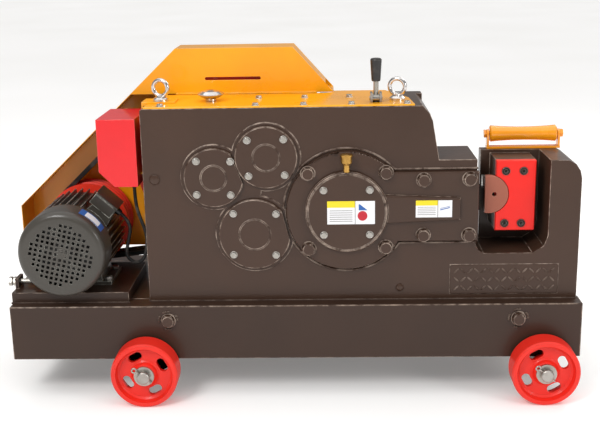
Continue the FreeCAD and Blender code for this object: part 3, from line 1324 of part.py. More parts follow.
def make_oil_cup():
    x = crank_x
    z = crank_z + 107.0
    y = case_front_y - guide_plate_t
    elbow_y = y - 20
    stem = rod_y(x, z - 8, 5, elbow_y, y)
    body = turned_z(x, elbow_y, [(0, z - 14), (7, z - 14), (7, z), (10, z + 4), (12, z + 6), (12, z + 20),
                                 (9, z + 20), (9, z + 10), (0, z + 10)])
    lid_z = z + 20 + body_gap
    hinge_y = elbow_y + lid_r
    ear = box(x - ear_half, elbow_y + 11, z + 12, x + ear_half, hinge_y + ear_r, lid_z)
    eye = rod_x(hinge_y, lid_z, ear_r, x - ear_half, x + ear_half)
    pin = rod_x(hinge_y, lid_z, hinge_pin_r, x - knuckle_end, x + knuckle_end)
    save("oil_cup", joined([stem, body, ear, eye, pin]))
    lid = turned_z(x, elbow_y, [(0, lid_z), (lid_r, lid_z), (lid_r, lid_z + 3), (10, lid_z + 5), (0,
                                                                                                  lid_z + 5)])
    gap_x = ear_half + body_gap
    knuckles = rod_x(hinge_y, lid_z, ear_r + 0.2, x - knuckle_end, x + knuckle_end)
    lid = joined([lid, knuckles])
    lid = lid.cut(box(x - gap_x, hinge_y - ear_r - 1.3, lid_z - 4, x + gap_x, hinge_y + 4, lid_z + 6))
    save("oil_cup_lid", lid.cut(rod_x(hinge_y, lid_z, hinge_pin_r + run_fit, x - 9, x + 9)))


make_base()
make_wheels()
make_casting()
make_covers()
make_top()
make_switch_box()
make_shafts()
make_crank()
make_ram()
make_blade_seat()
make_roller()
make_lever()
make_belt_drive()
make_guard()
make_motor()
make_oil_cup()
save("motor_lead", tube_along([(at(s), y, z) for s, y, z in lead_points], lead_r))
print("shafts", [(round(x, 2), round(z, 2)) for x, z in shaft_at])
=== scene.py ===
# Rebar cutter: the looks of the machine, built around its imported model. Metres throughout.
import json
import math

import bmesh
import bpy
from mathutils import Matrix, Vector


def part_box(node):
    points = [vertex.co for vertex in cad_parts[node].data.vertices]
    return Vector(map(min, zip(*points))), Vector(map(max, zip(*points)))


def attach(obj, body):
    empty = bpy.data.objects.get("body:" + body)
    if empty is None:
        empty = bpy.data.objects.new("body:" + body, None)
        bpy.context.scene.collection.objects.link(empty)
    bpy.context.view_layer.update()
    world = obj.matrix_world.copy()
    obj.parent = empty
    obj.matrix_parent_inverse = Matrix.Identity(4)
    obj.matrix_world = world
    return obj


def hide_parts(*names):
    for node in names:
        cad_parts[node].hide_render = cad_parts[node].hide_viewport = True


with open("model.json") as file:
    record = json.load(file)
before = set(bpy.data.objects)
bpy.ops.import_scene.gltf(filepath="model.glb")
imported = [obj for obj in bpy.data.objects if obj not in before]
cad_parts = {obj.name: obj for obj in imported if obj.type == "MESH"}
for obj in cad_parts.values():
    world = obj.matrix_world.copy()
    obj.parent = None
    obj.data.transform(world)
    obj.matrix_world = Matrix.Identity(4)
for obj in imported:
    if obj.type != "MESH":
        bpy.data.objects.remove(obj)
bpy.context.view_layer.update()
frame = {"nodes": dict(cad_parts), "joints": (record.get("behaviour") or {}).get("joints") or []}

mm = 0.001


def placed(name, data):        # a new object in the scene
    thing = bpy.data.objects.new(name, data)
    bpy.context.collection.objects.link(thing)
    return thing


# camera, floor and light
viewpoint = {"place": (0.09852, -2.32510, 0.98151), "turn": 1.76981, "dip": 14.5892,
             "roll": -1.03569, "lens": 60.607, "sensor": 36.0, "farthest": 200}


def makeCamera(v):
    turn, dip, roll = (math.radians(v[key]) for key in ("turn", "dip", "roll"))
    ahead = Vector((-math.sin(turn) * math.cos(dip), math.cos(turn) * math.cos(dip), -math.sin(dip)))
    level = Vector((math.cos(turn), math.sin(turn), 0))
    upright = level.cross(ahead)
    right = level * math.cos(roll) + upright * math.sin(roll)
    up = upright * math.cos(roll) - level * math.sin(roll)
    lens = bpy.data.cameras.new("camera")
    lens.lens = v["lens"]
    lens.sensor_width = v["sensor"]
    lens.clip_end = v["farthest"]
    camera = placed("camera", lens)
    turned = Matrix((right, up, -ahead)).transposed().to_4x4()
    camera.matrix_world = Matrix.Translation(v["place"]) @ turned
    bpy.context.scene.camera = camera


studio = {
    "white": (1, 1, 1, 1),
    "sky": 0.30,        # what the world gives as light
    "backdrop": 1.0,        # how bright the world looks to the camera
    "floor": 80.0,
    "floorGlow": 0.20,
    "ceiling": {"strength": 1.7, "softness": 90},        # even light from above, which keeps the floor pale
    "lamps": {        # place, what it looks at, size, watts
        "key": ((-1.5, -2.6, 2.7), (-0.1, 0.0, 0.4), 1.1, 58),
        "fill": ((2.9, -2.2, 1.5), (0.2, 0.0, 0.35), 0.9, 26),
        "rim": ((2.0, 2.2, 2.4), (0.1, 0.0, 0.5), 1.4, 30),
    },
}


def makeStudio(s):
    world = bpy.data.worlds.new("studio")
    world.use_nodes = True
    nodes, links = world.node_tree.nodes, world.node_tree.links
    sky = nodes["Background"]
    backdrop = nodes.new("ShaderNodeBackground")
    for background, strength in ((sky, s["sky"]), (backdrop, s["backdrop"])):
        background.inputs["Color"].default_value = s["white"]
        background.inputs["Strength"].default_value = strength
    seen = nodes.new("ShaderNodeLightPath")
    either = nodes.new("ShaderNodeMixShader")
    links.new(seen.outputs["Is Camera Ray"], either.inputs[0])
    links.new(sky.outputs[0], either.inputs[1])
    links.new(backdrop.outputs[0], either.inputs[2])
    links.new(either.outputs[0], nodes["World Output"].inputs["Surface"])
    bpy.context.scene.world = world
    bpy.context.scene.view_settings.view_transform = "Standard"
    ceiling = bpy.data.lights.new("ceiling", "SUN")
    ceiling.energy = s["ceiling"]["strength"]
    ceiling.angle = math.radians(s["ceiling"]["softness"])
    placed("ceiling", ceiling)
    for name, (place, target, size, watts) in s["lamps"].items():
        lamp = bpy.data.lights.new(name, "AREA")
        lamp.size = size
        lamp.energy = watts
        holder = placed(name, lamp)
        holder.location = place
        holder.rotation_euler = (Vector(target) - Vector(place)).to_track_quat("-Z", "Y").to_euler()


makeCamera(viewpoint)
makeStudio(studio)
print("camera and lamps are up")


# finishes
class Field:        # a number, colour or vector on its way through a node tree
    def __init__(self, bench, socket):
        self.bench = bench
        self.socket = socket

    def work(self, operation, *values):
        return self.bench.make("ShaderNodeMath", {"operation": operation}, dict(enumerate(values)))

    def __add__(self, other):
        return self.work("ADD", self, other)

    __radd__ = __add__

    def __mul__(self, other):
        return self.work("MULTIPLY", self, other)

    __rmul__ = __mul__

    def __sub__(self, other):
        return self.work("SUBTRACT", self, other)

    def __rsub__(self, other):
        return self.work("SUBTRACT", other, self)

    def __gt__(self, other):
        return self.work("GREATER_THAN", self, other)

    def __lt__(self, other):
        return self.work("LESS_THAN", self, other)

    def within(self, low, high):        # 1 between the two, 0 outside
        return (self > low) * (self < high)

    def fraction(self):
        return self.work("FRACT", self)

    def spread(self, low, high):        # low..high becomes 0..1, held at the ends
        return self.bench.make("ShaderNodeMapRange", {"clamp": True}, {0: self, 1: low, 2: high})


class Bench:        # makes nodes in one tree
    def __init__(self, tree):
        self.tree = tree

    def make(self, kind, settings=None, values=None, output=0):
        node = self.tree.nodes.new(kind)
        for key, value in (settings or {}).items():
            setattr(node, key, value)
        for key, value in (values or {}).items():
            if isinstance(value, Field):
                self.tree.links.new(value.socket, node.inputs[key])
            else:
                node.inputs[key].default_value = value
        return Field(self, node.outputs[output]) if node.outputs else node


class Finish(Bench):
    def __init__(self, name):
        self.material = bpy.data.materials.new(name + "Finish")
        self.material.use_nodes = True
        super().__init__(self.material.node_tree)
        self.tree.nodes.clear()
        self.place = self.make("ShaderNodeTexCoord", output="Object")

    def stretched(self, x, y, z):
        return self.make("ShaderNodeMapping", {}, {"Vector": self.place, "Scale": (x, y, z)})

    def noise(self, grain, detail=3.0, rough=0.5, place=None):        # grain is the size of a blotch
        values = {"Vector": place or self.place, "Scale": 1 / grain, "Detail": detail, "Roughness": rough}
        return self.make("ShaderNodeTexNoise", {}, values)

    def mix(self, amount, first, second):
        return self.make("ShaderNodeMix", {"data_type": "RGBA"}, {0: amount, 6: first, 7: second}, output=2)

    # the mark on rounded edges and trim pieces, which takes wear and a painted highlight
    def edges(self):
        return self.make("ShaderNodeAttribute", {"attribute_name": "roundedEdge"}, output="Fac")

    def bump(self, height, depth):
        return self.make("ShaderNodeBump", {}, {"Height": height, "Distance": depth, "Strength": 1.0})

    def surface(self, **values):
        sockets = {key.replace("_", " "): value for key, value in values.items()}
        shader = self.make("ShaderNodeBsdfPrincipled", {}, sockets)
        self.make("ShaderNodeOutputMaterial", {}, {"Surface": shader})
        return self.material


def tone(red, green, blue, share=1.0):        # a colour as a chart gives it, 0 to 255, turned linear
    linear = [((c / 255 + 0.055) / 1.055) ** 2.4 if c > 10 else c / 3295 for c in (red, green, blue)]
    return (*(share * c for c in linear), 1.0)


enamels = {        # sprayed paint: colour, roughness and gloss, the colour and share of edge wear and painted highlight, its bumps
    "case_paint": {"colour": (66, 46, 35), "rough": 0.33, "shine": 0.28, "coat": 0.12,
                   "edgeWornAndLit": (206, 186, 170), "wearAndHighlight": 0.62,
                   "cast": 0.45 * mm, "castGrain": 14 * mm, "peel": 0.10 * mm},
    "base_paint": {"colour": (58, 41, 32), "rough": 0.35, "shine": 0.26, "coat": 0.10,
                   "edgeWornAndLit": (176, 156, 140), "wearAndHighlight": 0.62,
                   "cast": 0.15 * mm, "castGrain": 40 * mm, "peel": 0.07 * mm},
    "orange_sheet": {"colour": (250, 170, 8), "rough": 0.30, "shine": 0.40, "coat": 0.28,
                     "edgeWornAndLit": (250, 214, 160), "wearAndHighlight": 0.35,
                     "cast": 0.25 * mm, "castGrain": 120 * mm, "peel": 0.04 * mm},
    "wheel_red": {"colour": (232, 42, 28), "rough": 0.44, "shine": 0.35, "coat": 0.10,
                  "edgeWornAndLit": (150, 70, 52), "wearAndHighlight": 0.40,
                  "cast": 0.35 * mm, "castGrain": 9 * mm, "peel": 0.12 * mm},
    "box_red": {"colour": (226, 20, 28), "rough": 0.36, "shine": 0.40, "coat": 0.35,
                "edgeWornAndLit": (250, 150, 140), "wearAndHighlight": 0.30,
                "cast": 0.12 * mm, "castGrain": 60 * mm, "peel": 0.05 * mm},
    "holder_red": {"colour": (240, 26, 12), "rough": 0.40, "shine": 0.35, "coat": 0.15,
                   "edgeWornAndLit": (150, 50, 38), "wearAndHighlight": 0.35,
                   "cast": 0.30 * mm, "castGrain": 8 * mm, "peel": 0.10 * mm},
    "pulley_red": {"colour": (246, 58, 34), "rough": 0.42, "shine": 0.35, "coat": 0.12,
                   "edgeWornAndLit": (140, 60, 46), "wearAndHighlight": 0.35,
                   "cast": 0.30 * mm, "castGrain": 10 * mm, "peel": 0.10 * mm},
    "motor_green": {"colour": (66, 62, 56), "rough": 0.36, "shine": 0.35, "coat": 0.22,
                    "edgeWornAndLit": (190, 190, 180), "wearAndHighlight": 0.75,
                    "cast": 0.18 * mm, "castGrain": 16 * mm, "peel": 0.08 * mm},
    "roller_orange": {"colour": (252, 158, 14), "rough": 0.24, "shine": 0.50, "coat": 0.80,
                      "edgeWornAndLit": (214, 150, 90), "wearAndHighlight": 0.40,
                      "cast": 0.10 * mm, "castGrain": 24 * mm, "peel": 0.04 * mm},
    "stop_brown": {"colour": (160, 92, 72), "rough": 0.48, "shine": 0.35, "coat": 0.05,
                   "edgeWornAndLit": (196, 160, 140), "wearAndHighlight": 0.50,
                   "cast": 0.06 * mm, "castGrain": 5 * mm, "peel": 0.05 * mm},
}
sprayed = {        # sizes of the blotches, then shares of the colour and the coat
    "cloud": 160 * mm, "speck": 2.2 * mm, "rub": 22 * mm, "peel": 3.2 * mm,
    "pale": 1.07, "dark": 0.93, "dirt": 0.55, "dirty": 0.22, "coatRough": 0.10,
}


def makeEnamel(name, e):
    f = Finish(name)
    cloudy = f.noise(sprayed["cloud"], 4).spread(0.35, 0.65)
    specks = f.noise(sprayed["speck"], 2, 0.7).spread(0.60, 0.78)
    colour = f.mix(cloudy, tone(*e["colour"], sprayed["dark"]), tone(*e["colour"], sprayed["pale"]))
    colour = f.mix(specks * sprayed["dirty"], colour, tone(*e["colour"], sprayed["dirt"]))
    rubbed = f.noise(sprayed["rub"], 5, 0.65).spread(0.40, 0.62)
    # rounded edges are mixed towards the edge colour: partly real wear, partly a painted highlight where
    # light catches the rounding
    wornAndLitEdges = f.edges() * rubbed * e["wearAndHighlight"]
    colour = f.mix(wornAndLitEdges, colour, tone(*e["edgeWornAndLit"]))
    peel = f.noise(sprayed["peel"], 2) * (e["peel"] / mm)
    height = f.noise(e["castGrain"], 4, 0.55) * (e["cast"] / mm) + peel
    return f.surface(
        Base_Color=colour,
        Roughness=cloudy * 0.08 + specks * 0.10 + wornAndLitEdges * 0.15 + (e["rough"] - 0.04),
        Specular_IOR_Level=e["shine"],
        Coat_Weight=e["coat"] - wornAndLitEdges * e["coat"],
        Coat_Roughness=sprayed["coatRough"],
        Normal=f.bump(height, mm),
    )


metals = {        # colour, roughness, size of its stains, depth and direction of its tool marks
    "machined_steel": {"colour": (176, 172, 166), "rough": 0.32, "stain": (120, 104, 88), "stained": 0.35,
                       "marks": 0.03 * mm, "along": (60, 900, 60)},
    "zinc": {"colour": (176, 172, 166), "rough": 0.34, "stain": (168, 160, 138), "stained": 0.35,
             "marks": 0.02 * mm, "along": (300, 300, 300)},
    "black_steel": {"colour": (46, 42, 40), "rough": 0.40, "stain": (96, 80, 66), "stained": 0.40,
                    "marks": 0.03 * mm, "along": (90, 500, 90)},
    "gear_steel": {"colour": (150, 146, 140), "rough": 0.30, "stain": (96, 84, 62), "stained": 0.45,
                   "marks": 0.03 * mm, "along": (80, 700, 80)},
    "grey_iron": {"colour": (112, 110, 108), "rough": 0.55, "stain": (92, 70, 54), "stained": 0.30,
                  "marks": 0.15 * mm, "along": (160, 160, 160)},
    "chrome": {"colour": (226, 222, 220), "rough": 0.14, "stain": (120, 100, 80), "stained": 0.35,
               "marks": 0.01 * mm, "along": (120, 120, 500)},
    "brass": {"colour": (206, 160, 84), "rough": 0.28, "stain": (120, 84, 40), "stained": 0.40,
              "marks": 0.02 * mm, "along": (90, 90, 800)},
    "bronze": {"colour": (168, 112, 62), "rough": 0.34, "stain": (98, 66, 40), "stained": 0.40,
               "marks": 0.02 * mm, "along": (90, 700, 90)},
    "winding": {"colour": (176, 88, 46), "rough": 0.36, "stain": (96, 44, 24), "stained": 0.50,
                "marks": 0.25 * mm, "along": (500, 60, 500)},
}


# blotches and tool marks, then the pale colour and share of a painted highlight, with some wear, on rounded
# edges
ground = {"blotch": 18 * mm, "marked": 0.16, "markTone": 0.55, "bright": (236, 232, 226), "glintAndWear": 0.35}


def makeMetal(name, m):
    f = Finish(name)
    blotches = f.noise(ground["blotch"], 5, 0.6).spread(0.42, 0.70)
    marks = f.noise(1.0, 3, 0.6, f.stretched(*m["along"]))
    colour = f.mix(blotches * m["stained"], tone(*m["colour"]), tone(*m["stain"]))
    colour = f.mix(marks.spread(0.3, 0.7) * ground["marked"], colour, tone(*m["colour"], ground["markTone"]))
    # rounded edges paler: a painted highlight, with some wear
    colour = f.mix(f.edges() * ground["glintAndWear"], colour, tone(*ground["bright"]))
    return f.surface(
        Base_Color=colour,
        Metallic=1 - blotches * 0.25 * m["stained"],
        Roughness=marks * 0.14 + blotches * 0.16 + (m["rough"] - 0.08),
        Normal=f.bump(marks, m["marks"]),
    )


moulded = {        # plastics and rubber
    "rubber": {"colour": (30, 29, 29), "rough": 0.62,
               "grain": 1.5 * mm, "depth": 0.10 * mm, "dust": 0.30},
    "black_plastic": {"colour": (36, 33, 32), "rough": 0.36,
                      "grain": 2.0 * mm, "depth": 0.04 * mm, "dust": 0.12},
    "green_plastic": {"colour": (28, 140, 70), "rough": 0.30,
                      "grain": 2.5 * mm, "depth": 0.02 * mm, "dust": 0.10},
    "red_plastic": {"colour": (205, 30, 30), "rough": 0.30,
                    "grain": 2.5 * mm, "depth": 0.02 * mm, "dust": 0.10},
}
# dust, then the paler colour and share on rounded edges: partly rubbing, partly a painted sheen
settledDust = {"patch": 26 * mm, "colour": (148, 138, 126), "rubbed": (120, 116, 112), "rubAndSheen": 0.25}


def makeMoulded(name, p):
    f = Finish(name)
    grain = f.noise(p["grain"], 3)
    dust = f.noise(settledDust["patch"], 4, 0.6).spread(0.5, 0.75) * p["dust"]
    colour = f.mix(dust, tone(*p["colour"]), tone(*settledDust["colour"]))
    # rounded edges paler: partly rubbed, partly a painted sheen
    colour = f.mix(f.edges() * settledDust["rubAndSheen"], colour, tone(*settledDust["rubbed"]))
    return f.surface(Base_Color=colour, Roughness=grain * 0.12 + dust * 0.4 + (p["rough"] - 0.06),
                     Normal=f.bump(grain, p["depth"]))


floorLook = {"patch": 1.4, "dark": (243, 242, 240), "pale": (248, 247, 246),
             "grain": 8 * mm, "depth": 0.05 * mm}


def makeFloorFinish():
    f = Finish("floor")
    patches = f.noise(floorLook["patch"], 4)
    colour = f.mix(patches.spread(0.3, 0.7), tone(*floorLook["dark"]), tone(*floorLook["pale"]))
    return f.surface(Base_Color=colour, Emission_Color=colour, Emission_Strength=studio["floorGlow"],
                     Roughness=patches * 0.1 + 0.6,
                     Normal=f.bump(f.noise(floorLook["grain"]), floorLook["depth"]))


finishes = {name: makeEnamel(name, e) for name, e in enamels.items()}
finishes.update({name: makeMetal(name, m) for name, m in metals.items()})
finishes.update({name: makeMoulded(name, p) for name, p in moulded.items()})


slotOf = {node: part.material_slots[0].name for node, part in frame["nodes"].items()}
for node, part in frame["nodes"].items():
    part.material_slots[0].material = finishes[slotOf[node]]
frame["nodes"]["moving_blade"].material_slots[0].material = finishes["black_steel"]        # oiled, not ground
print(len(finishes), "finishes on", len(frame["nodes"]), "parts")


# helpers for new pieces
def join(piece, body):
    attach(piece, body)
    return piece


def settled(piece):        # the piece's modifiers become plain mesh
    ready = piece.evaluated_get(bpy.context.evaluated_depsgraph_get())
    mesh = bpy.data.meshes.new_from_object(ready)
    piece.modifiers.clear()
    piece.data = mesh
    return mesh


def smooth(mesh, angle):
    for face in mesh.polygons:
        face.use_smooth = True
    mesh.set_sharp_from_angle(angle=math.radians(angle))


def makeFloor(size):
    mesh = bpy.data.meshes.new("floor")
    half = size / 2
    corners = [(-half, -half, 0), (half, -half, 0), (half, half, 0), (-half, half, 0)]
    mesh.from_pydata(corners, [], [(0, 1, 2, 3)])
    mesh.materials.append(makeFloorFinish())
    placed("floor", mesh)


makeFloor(studio["floor"])

# the motor's lead
lead = {"width": 8 * mm, "length": 0.342, "sides": 5, "steps": 16,
        "route": [(-.347, -.092, .468), (-.347, -.092, .432), (-.338, -.097, .398), (-.325, -.101, .367),
                  (-.322, -.103, .334), (-.332, -.104, .298), (-.355, -.092, .286), (-.379, -.078, .299),
                  (-.377, -.060, .324), (-.3639, -.061, .3751), (-.3892, -.061, .3979)]}


def makeLead(c):
    line = bpy.data.curves.new("leadCord", "CURVE")
    line.dimensions = "3D"
    line.bevel_depth = c["width"] / 2
    line.bevel_resolution = c["sides"]
    line.resolution_u = c["steps"]
    line.use_fill_caps = True
    run = line.splines.new("NURBS")
    run.points.add(len(c["route"]) - 1)
    for point, place in zip(run.points, c["route"]):
        point.co = (*place, 1)
    run.order_u = 3
    run.use_endpoint_u = True
    line.materials.append(finishes["rubber"])
    cord = join(placed("leadCord", line), "root")
    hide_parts("motor_lead")


makeLead(lead)
print("lead is in")

# rounded parts
# part: piece, body, how wide its edges are rounded, in how many steps
rounded = {
    "main_casting": ("caseCasting", "root", 1.2 * mm, 3),
    "base_frame": ("baseFrame", "root", 2.5 * mm, 3),
    "guide_cover": ("guideCover", "root", 0.6 * mm, 2),
    "shaft_covers": ("shaftCovers", "root", 0.9 * mm, 2),
    "top_cover": ("topCover", "root", 0.7 * mm, 2),
    "belt_guard": ("beltGuard", "root", 0.7 * mm, 2),
    "switch_box": ("switchBox", "root", 1.2 * mm, 3),
    "box_bracket": ("boxBracket", "root", 0.6 * mm, 2),
    "terminal_box": ("terminalBox", "root", 2.0 * mm, 3),
    "motor_base": ("motorBase", "root", 1.2 * mm, 2),
    "motor_cowl": ("motorCowl", "root", 0.4 * mm, 2),
    "motor_frame": ("motorFrame", "root", 0.8 * mm, 2),
    "blade_holder": ("bladeHolder", "root", 0.6 * mm, 2),
    "bar_stop": ("barStop", "root", 0.8 * mm, 2),
    "roller_bracket": ("rollerBracket", "root", 0.6 * mm, 2),
    "cover_bolts": ("coverBolts", "root", 0.7 * mm, 2),
    "frame_bolts": ("frameBolts", "root", 0.9 * mm, 2),
    "motor_bolts": ("motorBolts", "root", 0.5 * mm, 2),
    "holder_screws": ("holderScrews", "root", 0.5 * mm, 2),
    "feed_roller": ("feedRoller", "roller", 0.8 * mm, 2),
    "wheel_front_left": ("wheelFrontLeft", "wheel_fl", 0.5 * mm, 2),
    "wheel_front_right": ("wheelFrontRight", "wheel_fr", 0.5 * mm, 2),
    "wheel_rear_left": ("wheelRearLeft", "wheel_rl", 0.5 * mm, 2),
    "wheel_rear_right": ("wheelRearRight", "wheel_rr", 0.5 * mm, 2),
    "flywheel_pulley": ("flywheelPulley", "input", 0.8 * mm, 2),
    "lever_knob": ("leverKnob", "lever", 0.5 * mm, 2),
    "start_button": ("startButton", "start", 0.6 * mm, 2),
    "stop_button": ("stopButton", "stop", 0.6 * mm, 2),
}
edgeLimits = {"join": 0.01 * mm, "flat": 0.5, "corner": 28, "plug": 35, "label": 40}        # turns in degrees


wheelHoles = {"turns": (28, 118, 208, 298), "spread": 9, "ring": 44.5 * mm, "radius": 9.15 * mm, "sides": 24,
              "past": 5 * mm}


def holeCutter(node, w):        # oval lightening holes, which make the cast pairs of holes one opening each
    low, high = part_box(node)
    centre = (low + high) / 2
    work = bmesh.new()
    for middleTurn in w["turns"]:
        corners = []
        for turn in (middleTurn - w["spread"], middleTurn + w["spread"]):
            x = centre.x + w["ring"] * math.cos(math.radians(turn))
            z = centre.z + w["ring"] * math.sin(math.radians(turn))
            for side in range(w["sides"]):
                around = 2 * math.pi * side / w["sides"]
                for y in (low.y - w["past"], high.y + w["past"]):
                    corners.append(work.verts.new((x + w["radius"] * math.cos(around), y,
                                                   z + w["radius"] * math.sin(around))))
        bmesh.ops.convex_hull(work, input=corners)
    bmesh.ops.delete(work, geom=[corner for corner in work.verts if not corner.link_faces], context="VERTS")
    mesh = bpy.data.meshes.new("holeCutter")
    work.to_mesh(mesh)
    work.free()
    return placed("holeCutter", mesh)


def roundPart(node, name, body, width, steps):
    source = frame["nodes"][node]
    work = bmesh.new()
    work.from_mesh(source.data)
    bmesh.ops.remove_doubles(work, verts=work.verts, dist=edgeLimits["join"])
    flat = math.radians(edgeLimits["flat"])
    bmesh.ops.dissolve_limit(work, angle_limit=flat, verts=work.verts, edges=work.edges)
    mesh = bpy.data.meshes.new(name)
    work.to_mesh(mesh)
    work.free()
    if "custom_normal" in mesh.attributes:
        mesh.attributes.remove(mesh.attributes["custom_normal"])
    slot = slotOf[node]
    mesh.materials.clear()
    for finish in (finishes[slot], finishes[slot]):        # the second is for the rounded strips
        mesh.materials.append(finish)
    smooth(mesh, edgeLimits["corner"])
    piece = placed(name, mesh)
    cutter = None
    if body.startswith("wheel"):
        cutter = holeCutter(node, wheelHoles)
        holes = piece.modifiers.new("holes", "BOOLEAN")
        holes.object = cutter
        holes.solver = "EXACT"
    edge = piece.modifiers.new("edges", "BEVEL")
    edge.limit_method = "ANGLE"
    edge.angle_limit = math.radians(edgeLimits["corner"])
    edge.width = width
    edge.segments = steps
    edge.use_clamp_overlap = False
    edge.harden_normals = True
    edge.material = 1
    mesh = settled(piece)
    if cutter:
        bpy.data.objects.remove(cutter)
    mark = mesh.attributes.new("roundedEdge", "FLOAT", "FACE")
    mark.data.foreach_set("value", [float(face.material_index) for face in mesh.polygons])
    for face in mesh.polygons:
        face.material_index = 0
    mesh.materials.pop(index=1)
    join(piece, body)
    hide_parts(node)


for node, (name, body, width, steps) in rounded.items():
    roundPart(node, name, body, width, steps)
print(len(rounded), "parts have rounded edges")


# pieces that repeat, as Geometry Nodes
class Recipe(Bench):        # a tree whose sizes are its named inputs
    def __init__(self, name, sizes):
        tree = bpy.data.node_groups.new(name, "GeometryNodeTree")
        super().__init__(tree)
        tree.interface.new_socket("Geometry", in_out="INPUT", socket_type="NodeSocketGeometry")
        tree.interface.new_socket("Geometry", in_out="OUTPUT", socket_type="NodeSocketGeometry")
        self.keys = {}
        for label, value in sizes.items():
            kind = "NodeSocketInt" if isinstance(value, int) else "NodeSocketFloat"
            socket = tree.interface.new_socket(label, in_out="INPUT", socket_type=kind)
            socket.default_value = value
            self.keys[label] = socket.identifier
        self.start = tree.nodes.new("NodeGroupInput")

    def given(self, label):
        return Field(self, self.start.outputs[label])

    def vector(self, x, y, z):
        return self.make("ShaderNodeCombineXYZ", {}, {0: x, 1: y, 2: z})

    def serve(self, geometry, finish):        # one named input sets how far the pieces take their edge colour, as on a rounded edge: partly wear, partly a painted highlight
        whole = self.make("GeometryNodeRealizeInstances", {}, {"Geometry": geometry})
        whole = self.make("GeometryNodeStoreNamedAttribute", {"data_type": "FLOAT", "domain": "FACE"},
                          {"Geometry": whole, "Name": "roundedEdge", "Value": self.given("LitAndWorn")})
        soft = self.make("GeometryNodeSetShadeSmooth", {}, {"Geometry": whole})
        painted = self.make("GeometryNodeSetMaterial", {}, {"Geometry": soft, "Material": finish})
        self.make("NodeGroupOutput", {}, {"Geometry": painted})
        return self


def cook(recipe, name, points, edges, body, slot, **sizes):        # the recipe run on those points and lines
    mesh = bpy.data.meshes.new(name)
    mesh.from_pydata([tuple(point) for point in points], edges, [])
    piece = placed(name, mesh)
    step = piece.modifiers.new("recipe", "NODES")
    step.node_group = recipe.tree
    for label, value in sizes.items():
        step[recipe.keys[label]] = value
    settled(piece)
    return join(piece, body)


def beadRecipe(finish):        # weld beads laid along lines
    r = Recipe("weldBeads", {"Bead": 3 * mm, "Step": 2 * mm, "Uneven": 0.25, "Seed": 4, "LitAndWorn": 0.3})
    line = r.make("GeometryNodeMeshToCurve", {}, {"Mesh": r.given("Geometry")})
    dots = r.make("GeometryNodeResampleCurve", {"mode": "LENGTH"}, {"Curve": line, "Length": r.given("Step")})
    drop = r.make("GeometryNodeMeshIcoSphere", {}, {"Radius": r.given("Bead"), "Subdivisions": 2})
    size = r.make("FunctionNodeRandomValue", {"data_type": "FLOAT"},
                  {2: 1 - r.given("Uneven"), 3: 1 + r.given("Uneven"), 8: r.given("Seed")}, output=1)
    beads = r.make("GeometryNodeInstanceOnPoints", {}, {"Points": dots, "Instance": drop, "Scale": size})
    return r.serve(beads, finish)


def washerRecipe(name, finish, turn):        # a round-edged washer lying on each point
    r = Recipe(name, {"Radius": 16 * mm, "Section": 1.6 * mm, "LitAndWorn": 0.8})
    path = r.make("GeometryNodeCurvePrimitiveCircle", {}, {"Resolution": 36, "Radius": r.given("Radius")})
    section = r.make("GeometryNodeCurvePrimitiveCircle", {}, {"Resolution": 8, "Radius": r.given("Section")})
    ring = r.make("GeometryNodeCurveToMesh", {}, {"Curve": path, "Profile Curve": section})
    laid = r.make("GeometryNodeTransform", {}, {"Geometry": ring, "Rotation": turn})
    washers = r.make("GeometryNodeInstanceOnPoints", {}, {"Points": r.given("Geometry"), "Instance": laid})
    return r.serve(washers, finish)


def lozengeRecipe(finish):        # raised lozenges on a grid that faces the operator
    r = Recipe("lozenges", {"Width": 0.2, "Height": 0.05, "Columns": 15, "Rows": 3, "Long": 8 * mm,
                            "Narrow": 0.28, "Proud": 2.2 * mm, "LitAndWorn": 0.35})
    sizes = {"Size X": "Width", "Size Y": "Height", "Vertices X": "Columns", "Vertices Y": "Rows"}
    grid = r.make("GeometryNodeMeshGrid", {}, {socket: r.given(label) for socket, label in sizes.items()})
    stood = r.make("GeometryNodeTransform", {}, {"Geometry": grid, "Rotation": (math.pi / 2, 0, 0)})
    odd = (r.make("GeometryNodeInputIndex") * 0.5).fraction() * 2
    lean = odd * (math.pi / 2) - math.pi / 4
    lump = r.make("GeometryNodeMeshUVSphere", {}, {"Segments": 12, "Rings": 8, "Radius": 1.0})
    size = r.vector(r.given("Long"), r.given("Proud"), r.given("Long") * r.given("Narrow"))
    laid = {"Points": stood, "Instance": lump, "Scale": size, "Rotation": r.vector(0.0, lean, 0.0)}
    lumps = r.make("GeometryNodeInstanceOnPoints", {}, laid)
    return r.serve(lumps, finish)


def separateBolts(node):        # lowest and highest corner of each solid in a node
    work = bmesh.new()
    work.from_mesh(frame["nodes"][node].data)
    bmesh.ops.remove_doubles(work, verts=work.verts, dist=edgeLimits["join"])
    waiting = set(work.verts)
    boxes = []
    while waiting:
        front = [waiting.pop()]
        found = []
        while front:
            corner = front.pop()
            found.append(corner.co.copy())
            for edge in corner.link_edges:
                other = edge.other_vert(corner)
                if other in waiting:
                    waiting.remove(other)
                    front.append(other)
        boxes.append((Vector(map(min, *found)), Vector(map(max, *found))))
    work.free()
    return sorted(boxes, key=lambda corners: tuple(round(v, 5) for v in corners[0]))


washers = {"case": {"Radius": 15.4 * mm, "Section": 1.7 * mm}, "head": 13 * mm,
           "small": {"Radius": 7.4 * mm, "Section": 1.1 * mm}, "smallHead": 6 * mm}


